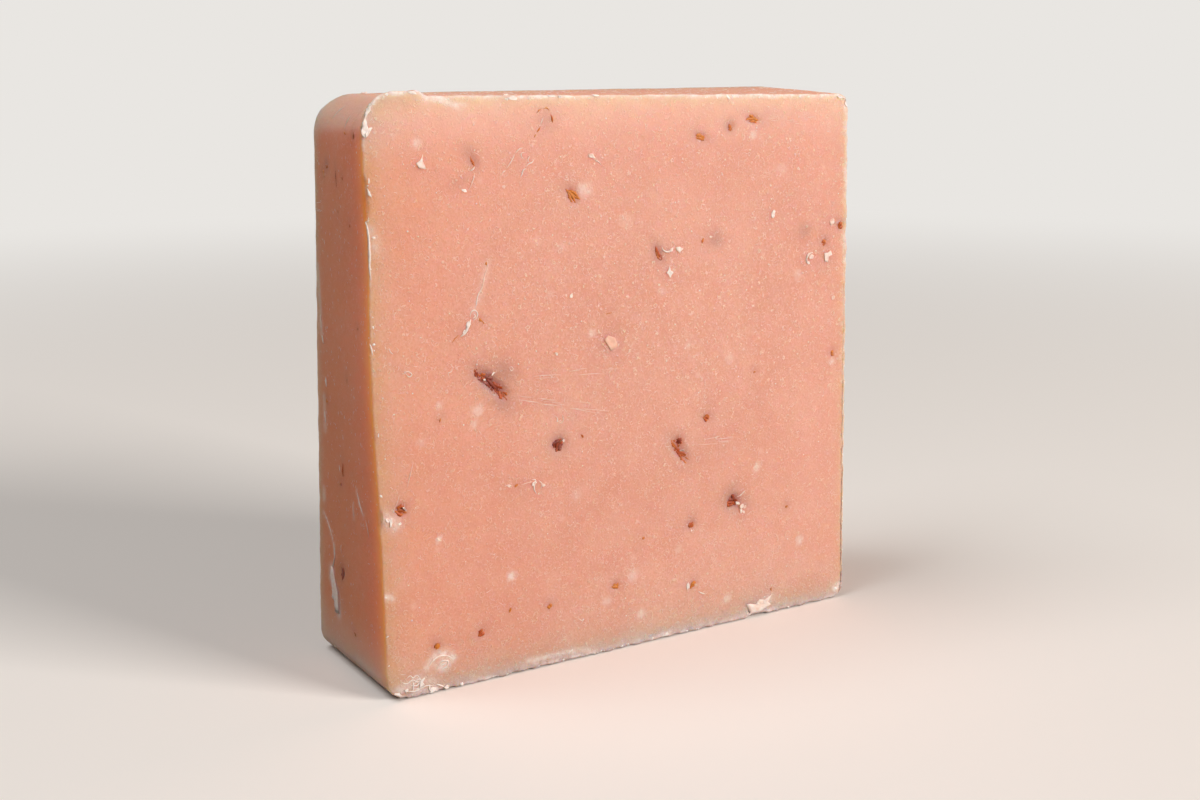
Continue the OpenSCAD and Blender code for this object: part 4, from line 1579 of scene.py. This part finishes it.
@dataclass
class Litter:
    """Small things that cling to the bar's skin: where each lies, and how it is shaped."""

    # Where a ray to each face starts, outside the bar
    START = {Face.FRONT: -5.0, Face.BACK: 30.0, Face.LEFT: -5.0, Face.RIGHT: 80.0, Face.TOP: 80.0}
    # How far it may run, so that none slips past an edge and hits another side
    REACH = {Face.FRONT: 6.8, Face.BACK: 15.0, Face.LEFT: 9.5, Face.RIGHT: 14.0, Face.TOP: 12.0}

    block: SoapBlock
    skin: BVHTree
    seed: int = 29

    def __post_init__(self) -> None:
        """Draws the seeded noise and numbers."""
        self.rng = np.random.default_rng(self.seed)
        self.grain = Grain(self.seed)

    def lay(self, places: Array, face: Face) -> tuple[Array, Array]:
        """Drops places on a face onto the skin.

        Args:
            places: two places along the face for each point.
            face: the face.

        Returns:
            The points on the skin, and the way that it faces there.
        """
        out = Vector(face.value)
        points, ways = [], []
        for a, b in places:
            if face in (Face.FRONT, Face.BACK):
                start = Vector((a, self.START[face], b))
            elif face is Face.TOP:
                start = Vector((a, b, self.START[face]))
            else:
                start = Vector((self.START[face], a, b))
            hit, normal, _, away = self.skin.ray_cast(start, -out)
            if hit is None or away > self.REACH[face]:
                hit, normal, _, _ = self.skin.find_nearest(start - 5 * out)
            points.append(hit)
            ways.append(normal)
        return np.array(points, float), unit(np.array(ways, float))

    def _torn(self, flake: Flake) -> Array:
        """The flake's rim on its face: its own outline, or a ragged oval with corners.

        Args:
            flake: the flake.

        Returns:
            Points round the rim, each side of the outline split in two.
        """
        if flake.outline:
            corners = np.array(flake.outline) + flake.at
        else:
            count = 7
            angles = (np.arange(count) + 0.45 * self.rng.uniform(-1, 1, count)) * 2 * math.pi / count
            size = np.array(flake.size) / 2 * self.rng.uniform(0.6, 1.35, (count, 1))
            turn = math.radians(flake.turn)
            oval = np.stack([np.cos(angles), np.sin(angles)], 1) * size
            corners = oval @ np.array([[math.cos(turn), math.sin(turn)], [-math.sin(turn), math.cos(turn)]])
            corners = corners + flake.at
        middles = (corners + np.roll(corners, -1, axis=0)) / 2
        return np.stack([corners, middles], 1).reshape(-1, 2)

    def flake(self, shape: Shape, flake: Flake, rings: int = 4) -> None:
        """Adds one crumpled flake, thin at its rim.

        Args:
            shape: the mesh that it goes into.
            flake: the flake.
            rings: how many rings of faces it has from its middle to its rim.
        """
        thickness, rim_half = 0.06, 0.006
        rim = self._torn(flake)
        spokes, centre = len(rim), rim.mean(0)
        flat = [centre[None]] + [centre + (rim - centre) * ring / rings for ring in range(1, rings + 1)]
        points, ways = self.lay(np.concatenate(flat), flake.face)
        way = unit(ways.mean(0))
        share = np.concatenate([[0], np.repeat(np.arange(1, rings + 1) / rings, spokes)])
        curl = flake.lift * (0.4 + 0.6 * share * (1 + self.grain.at(points, 0.6)))
        middle = points + way * (curl + 0.08 * self.grain.at(points * 1.7, 0.6))[:, None]
        half = (thickness * (1 - share**3) / 2 + rim_half)[:, None]
        both = np.concatenate([middle + way * half, middle - way * (half + 0.5 * flake.lift + 0.02)])
        faces, count = [], len(points)
        for side in (0, 1):
            start = side * count
            for k in range(spokes):
                j = (k + 1) % spokes
                loops = [(start, start + 1 + k, start + 1 + j)]
                for ring in range(rings - 1):
                    low, high = start + 1 + ring * spokes, start + 1 + (ring + 1) * spokes
                    loops.append((low + k, high + k, high + j, low + j))
                faces += [f[::-1] if side else f for f in loops]
        edge = 1 + (rings - 1) * spokes
        faces += [
            (edge + k, edge + count + k, edge + count + (k + 1) % spokes, edge + (k + 1) % spokes)
            for k in range(spokes)
        ]
        out = np.array(flake.face.value, float)
        if flake.face in (Face.BACK, Face.LEFT):
            faces = [f[::-1] for f in faces]
        if way @ out < 0:
            LOG.warning("a flake at %s faces inwards", flake.at)
        shape.add(both, faces, tone=flake.tone)

    def strand(
        self,
        shape: Shape,
        path: Array,
        face: Face,
        *,
        width: float,
        proud: float,
        ribs: float = 0.0,
        slight: bool = False,
        **marks: float,
    ) -> None:
        """Adds one thin strand that lies along a line on a face, pointed at both ends.

        Args:
            shape: the mesh that it goes into.
            path: the line's places on the face.
            face: the face.
            width: its greatest width.
            proud: how far it stands out of the skin.
            ribs: how much thinner and thicker it is by turns, as a share of its width.
            slight: whether it has three sides in place of four.
            marks: values for the material.
        """
        points, ways = self.lay(path, face)
        along = unit(np.gradient(points, axis=0))
        across = unit(np.cross(ways, along))
        t = np.linspace(0, 1, len(points))
        girth = np.sin(math.pi * np.clip(t, 0.02, 0.98)) ** 0.6
        girth = girth * (1 + ribs * np.cos(math.pi * np.arange(len(t))))
        girth = (girth * (1 + 0.25 * self.grain.at(points, 0.5)))[:, None]
        rows = [
            points + ways * proud * girth,
            points + across * width / 2 * girth,
            points - ways * 0.6 * width * girth,
            points - across * width / 2 * girth,
        ]
        if slight:
            rows = [rows[0], rows[1] - ways * 0.3 * width * girth, rows[3] - ways * 0.3 * width * girth]
        count, sides = len(points), len(rows)
        faces = []
        for k in range(sides):
            j = (k + 1) % sides
            for i in range(count - 1):
                faces.append((k * count + i, k * count + i + 1, j * count + i + 1, j * count + i))
        faces.append(tuple(k * count for k in range(sides)))
        faces.append(tuple((sides - 1 - k) * count + count - 1 for k in range(sides)))
        shape.add(np.concatenate(rows), [f[::-1] for f in faces], **marks)

    def thread(self, shape: Shape, thread: Thread) -> None:
        """Adds one curled thread, smooth through the points of its line.

        Args:
            shape: the mesh that it goes into.
            thread: the thread.
        """
        step, fewest, smoothings = 0.18, 8, 2
        line = np.array(thread.path)
        run = np.concatenate([[0], np.cumsum(np.linalg.norm(np.diff(line, axis=0), axis=1))])
        stops = np.linspace(0, run[-1], max(fewest, round(run[-1] / step)))
        path = np.stack([np.interp(stops, run, line[:, i]) for i in (0, 1)], 1)
        for _ in range(smoothings):
            path[1:-1] = (path[:-2] + 2 * path[1:-1] + path[2:]) / 4
        width = thread.width
        self.strand(shape, path, thread.face, width=width, proud=0.5 * width, tone=thread.tone)


@dataclass
class PetalFlecks(Litter):
    """Dried petals that the blade cut through, each in its pit."""

    def build(self, finish: bpy.types.Material) -> bpy.types.Object:
        """Builds the petals.

        Args:
            finish: the petals' material.

        Returns:
            The piece.
        """
        shape = Shape()
        for fleck in FLECKS:
            self._petal(shape, fleck)
        for loop in LOOPS:
            self.thread(shape, loop)
        return shape.piece("petal_flecks", finish, box=cad_box, shift=self.block.shift)

    def _petal(self, shape: Shape, fleck: Fleck) -> None:
        """Adds one petal as crumpled folds that lie side by side.

        Args:
            shape: the mesh that it goes into.
            fleck: the petal.
        """
        length, width = fleck.size
        turn = math.radians(fleck.turn)
        way = np.array([math.cos(turn), math.sin(turn)])
        beside = np.array([-way[1], way[0]])
        fold_width, step, long_petal = 0.25, 0.12, 2.5
        folds = max(1, round(width / fold_width))
        for fold in range(folds):
            off = (fold - (folds - 1) / 2) * width / folds
            parts = 1 if length < long_petal else 1 + (fold % 2)
            for part in range(parts):
                middle = (part + 0.5) / parts - 0.5 + 0.12 * self.rng.uniform(-1, 1)
                reach = length / parts * self.rng.uniform(0.75, 1.15) * (1 - 0.35 * abs(2 * off / width))
                t = np.linspace(-0.5, 0.5, max(6, round(reach / step)))[:, None]
                lean = 0.22 * self.rng.uniform(-1, 1) * reach * t
                bend = 0.14 * width * np.sin(5 * t + self.rng.uniform(0, 6))
                path = np.array(fleck.at) + way * (middle * length + t * reach)
                path = path + beside * (off + lean + bend)
                tone = fleck.tone.value + self.rng.uniform(-0.15, 0.25)
                tone = tone + self.rng.uniform(0, 3) * t[:, 0] ** 2
                self.strand(
                    shape,
                    path,
                    fleck.face,
                    width=self.rng.uniform(1.9, 2.7) * (width / folds if folds > 1 else 0.5 * width),
                    proud=0.03 + 0.1 * self.rng.random(),
                    ribs=0.18,
                    tone=np.tile(np.clip(tone, 0, 1), 4),
                )


@dataclass
class Shavings(Litter):
    """White flakes, curls and drag marks on the skin, and white flakes on the petals that are painted
    highlights.
    """

    curls: int = 4300

    def build(self, finish: bpy.types.Material) -> bpy.types.Object:
        """Builds the shavings.

        Args:
            finish: the shavings' material.

        Returns:
            The piece.
        """
        shape = Shape()
        for flake in FLAKES:
            self.flake(shape, flake)
        self._crumbs(shape)
        for thread in THREADS:
            self.thread(shape, thread)
        self._drags(shape)
        self._curls(shape)
        return shape.piece("soap_shavings", finish, box=cad_box, shift=self.block.shift)

    def _crumbs(self, shape: Shape) -> None:
        """Adds white crumbs along the front face's edges, larger ones in place and small ones between.

        Args:
            shape: the mesh that they go into.
        """
        right, top = self.block.foot_w - 0.45, self.block.bar_h - 0.45
        places = [(x, 0.25, Face.FRONT) for x in CRUMBS]
        places += [(x, 0.2, Face.FRONT) for x in self.rng.uniform(1, 69, 34)]
        places += [(y, 0.25, Face.LEFT) for y in self.rng.uniform(1, 20, 12)]
        places += [(0.4 - 0.007 * z, z, Face.FRONT) for z in self.rng.uniform(2, 52, 12)]
        places += [(x, top - 0.01 * x, Face.FRONT) for x in self.rng.uniform(9, 68, 26)]
        places += [(right - 0.015 * z, z, Face.FRONT) for z in self.rng.uniform(2, 68, 36)]
        for i, (a, b, face) in enumerate(places):
            low, high = (0.3, 0.7) if i < len(CRUMBS) else (0.12, 0.4)
            size = tuple(self.rng.uniform(low, high, 2))
            self.flake(shape, Flake((a, b), size, self.rng.uniform(0, 90), 1.0, 0.0, face), rings=2)

    def _drags(self, shape: Shape) -> None:
        """Adds the fans of fine broken ridges that dragged petals left.

        Args:
            shape: the mesh that they go into.
        """
        # Start, end, count of ridges and spread of each fan
        fans = (
            ((16.5, 35.0), (31.0, 31.8), 16, 1.7),
            ((42.6, 25.8), (51.0, 25.5), 9, 1.2),
            ((54.0, 66.6), (63.5, 66.6), 9, 1.6),
            ((20.0, 37.2), (34.0, 36.5), 7, 2.0),
        )
        for start, end, count, spread in fans:
            a, b = np.array(start), np.array(end)
            for k in range(count):
                low = self.rng.uniform(0, 0.8)
                high = low + self.rng.uniform(0.08, 0.3)
                t = np.linspace(low, high, 12)[:, None]
                side = self.rng.uniform(-0.5, 0.5) * spread
                path = a + (b - a) * t + np.array([0, 1]) * side * (0.3 + 0.7 * t)
                path = path + np.array([0, 0.05]) * np.sin(9 * t + k)
                tone = self.rng.uniform(0.3, 0.8)
                self.strand(shape, path, Face.FRONT, width=0.07, proud=0.02, tone=tone)

    def _curls(self, shape: Shape) -> None:
        """Scatters short curls over every face.

        Args:
            shape: the mesh that they go into.
        """
        areas = {
            Face.FRONT: (0.5, 69, 0.5, 69.5),
            Face.BACK: (0.5, 69, 1, 69.5),
            Face.LEFT: (0.6, 17, 3, 65),
            Face.RIGHT: (0.6, 17, 3, 65),
            Face.TOP: (5, 67, 1, 17),
        }
        sizes = {f: (b - a) * (d - c) for f, (a, b, c, d) in areas.items()}
        total = sum(sizes.values())
        for face, (a, b, c, d) in areas.items():
            for _ in range(round(self.curls * sizes[face] / total)):
                # The top of the cut face holds more of them
                up = self.rng.random() ** (0.75 if face is Face.FRONT else 1)
                start = np.array([self.rng.uniform(a, b), c + (d - c) * up])
                heading, bend = self.rng.uniform(0, 2 * math.pi), self.rng.normal(0, 0.35)
                step = self.rng.uniform(0.06, 0.17)
                if face in (Face.LEFT, Face.RIGHT):
                    heading, bend, step = math.pi / 2 + 0.3 * bend, 0.3 * bend, 0.6 * step
                path = [start]
                for _ in range(5):
                    heading += bend + self.rng.normal(0, 0.2)
                    path.append(path[-1] + step * np.array([math.cos(heading), math.sin(heading)]))
                self.strand(
                    shape,
                    np.array(path),
                    face,
                    width=self.rng.uniform(0.05, 0.1),
                    proud=0.03,
                    slight=True,
                    tone=self.rng.uniform(0.4, 1.0),
                )


@dataclass
class Studio:
    """Pale sweep, soft lights and the camera."""

    lens_mm: float = 45.72
    eye: tuple[float, float, float] = (-66.5, -156.1, 73.6)
    yaw: float = 31.62
    pitch: float = 12.43
    roll: float = -0.33
    paper: str = "#E9E6E2"
    near_paper: str = "#F7F4F0"
    bounce: str = "#77706A"
    fill: float = 0.11
    fill_tint: str = "#FFEADC"
    key_watts: float = 22.5
    top_watts: float = 4.6

    def build(self, block: SoapBlock) -> None:
        """Builds the studio round the bar.

        Args:
            block: the bar.
        """
        self._floor()
        self._world()
        self._lamp("key", (0.72, -1.15, 0.48), 0.6, self.key_watts, "#FFF8F2")
        self._lamp("top", (-0.45, 0.05, 0.89), 0.6, self.top_watts, "#FFFFFF")
        self._camera(block)

    def _floor(self) -> None:
        """Makes the matt paper floor, which keeps the bar's shadow and is evenly pale farther off."""
        half, near, far = 12.0, 0.1, 0.6
        mesh = bpy.data.meshes.new("floor")
        corners = [(-half, -half, 0), (half, -half, 0), (half, half, 0), (-half, half, 0)]
        mesh.from_pydata(corners, [], [(0, 1, 2, 3)])
        paper, tree = bare_material("matt_paper")
        place = add_node(tree, "ShaderNodeTexCoord").outputs["Object"]
        away = add_node(tree, "ShaderNodeVectorMath", {0: place}, operation="LENGTH").outputs["Value"]
        away = add_node(
            tree, "ShaderNodeMapRange", {0: away, 1: near, 2: far}, interpolation_type="SMOOTHSTEP"
        ).outputs[0]
        share = add_node(
            tree, "ShaderNodeMath", {0: away, 1: self._seen(tree)}, operation="MULTIPLY"
        ).outputs[0]
        tint = add_node(
            tree,
            "ShaderNodeMix",
            {0: self._seen(tree), 6: linear(self.bounce), 7: linear(self.near_paper)},
            data_type="RGBA",
        ).outputs[2]
        matt = add_node(tree, "ShaderNodeBsdfDiffuse", {"Color": tint}).outputs[0]
        even = add_node(tree, "ShaderNodeEmission", {"Color": linear(self.paper)}).outputs[0]
        surface = add_node(tree, "ShaderNodeMixShader", {0: share, 1: matt, 2: even}).outputs[0]
        add_node(tree, "ShaderNodeOutputMaterial", {"Surface": surface})
        mesh.materials.append(paper)
        made = put("floor", mesh)

    @staticmethod
    def _seen(tree: Tree) -> Socket:
        """Light that goes to the camera straight, or by a mirror or glass.

        Args:
            tree: the material's or world's nodes.

        Returns:
            1 for such light and 0 for the rest.
        """
        path = add_node(tree, "ShaderNodeLightPath").outputs
        seen = path["Is Camera Ray"]
        for kind in ("Is Transmission Ray", "Is Glossy Ray"):
            seen = add_node(tree, "ShaderNodeMath", {0: seen, 1: path[kind]}, operation="MAXIMUM").outputs[0]
        return seen

    def _world(self) -> None:
        """Lights the bar evenly from all round, with the floor's colour behind it."""
        world = bpy.data.worlds.new("studio")
        world.use_nodes = True
        tree = world.node_tree
        tree.nodes.clear()
        fill, behind = (
            add_node(tree, "ShaderNodeBackground", {"Color": linear(tint), "Strength": strength}).outputs[0]
            for tint, strength in ((self.fill_tint, self.fill), (self.paper, 1.0))
        )
        light = add_node(
            tree, "ShaderNodeMixShader", {0: self._seen(tree), 1: fill, 2: behind}
        ).outputs[0]
        add_node(tree, "ShaderNodeOutputWorld", {"Surface": light})
        bpy.context.scene.world = world

    @staticmethod
    def _lamp(
        name: str, place: tuple[float, float, float], size: float, watts: float, colour: str
    ) -> None:
        """Hangs one soft lamp that points at the bar.

        Args:
            name: its name.
            place: where it hangs, in metres.
            size: its width.
            watts: its power.
            colour: its colour.
        """
        data = bpy.data.lights.new(name, "AREA")
        data.shape, data.size, data.energy = "SQUARE", size, watts
        data.color = linear(colour)[:3]
        lamp = put(name, data)
        lamp.location = place
        middle = Vector((0, 0, 0.035))
        lamp.rotation_euler = (middle - Vector(place)).to_track_quat("-Z", "Y").to_euler()

    def _camera(self, block: SoapBlock) -> None:
        """Sets the camera at the photograph's viewing angle.

        Args:
            block: the bar.
        """
        yaw, pitch, roll = (math.radians(a) for a in (self.yaw, self.pitch, self.roll))
        ahead = Vector((math.sin(yaw) * math.cos(pitch), math.cos(yaw) * math.cos(pitch), -math.sin(pitch)))
        right = Vector((math.cos(yaw), -math.sin(yaw), 0))
        up = right.cross(ahead)
        right, up = (
            math.cos(roll) * right + math.sin(roll) * up,
            -math.sin(roll) * right + math.cos(roll) * up,
        )
        data = bpy.data.cameras.new("camera")
        data.lens, data.sensor_width = self.lens_mm, 36.0
        data.clip_start, data.clip_end = 0.01, 20.0
        camera = put("camera", data)
        turn = Matrix((right, up, -ahead)).transposed().to_4x4()
        camera.matrix_world = Matrix.Translation((Vector(self.eye) + Vector(block.shift)) * MM) @ turn
        bpy.context.scene.camera = camera


def main() -> None:
    """Builds the bar, its petals and shavings, and the studio."""
    logging.basicConfig(level=logging.INFO, format="%(name)s %(message)s")
    block = SoapBlock()
    body, skin = block.build(CuredSoap().material())
    petals = PetalFlecks(block, skin).build(DriedPetal().material())
    shavings = Shavings(block, skin, seed=31).build(SoapShaving().material())
    for made in (body, petals, shavings):
        mesh = made.data
        LOG.info("%s: %d corners, %d faces", made.name, len(mesh.vertices), len(mesh.polygons))
    Studio().build(block)
    bpy.context.scene.view_settings.view_transform = "Standard"


if __name__ == "__main__":
    main()
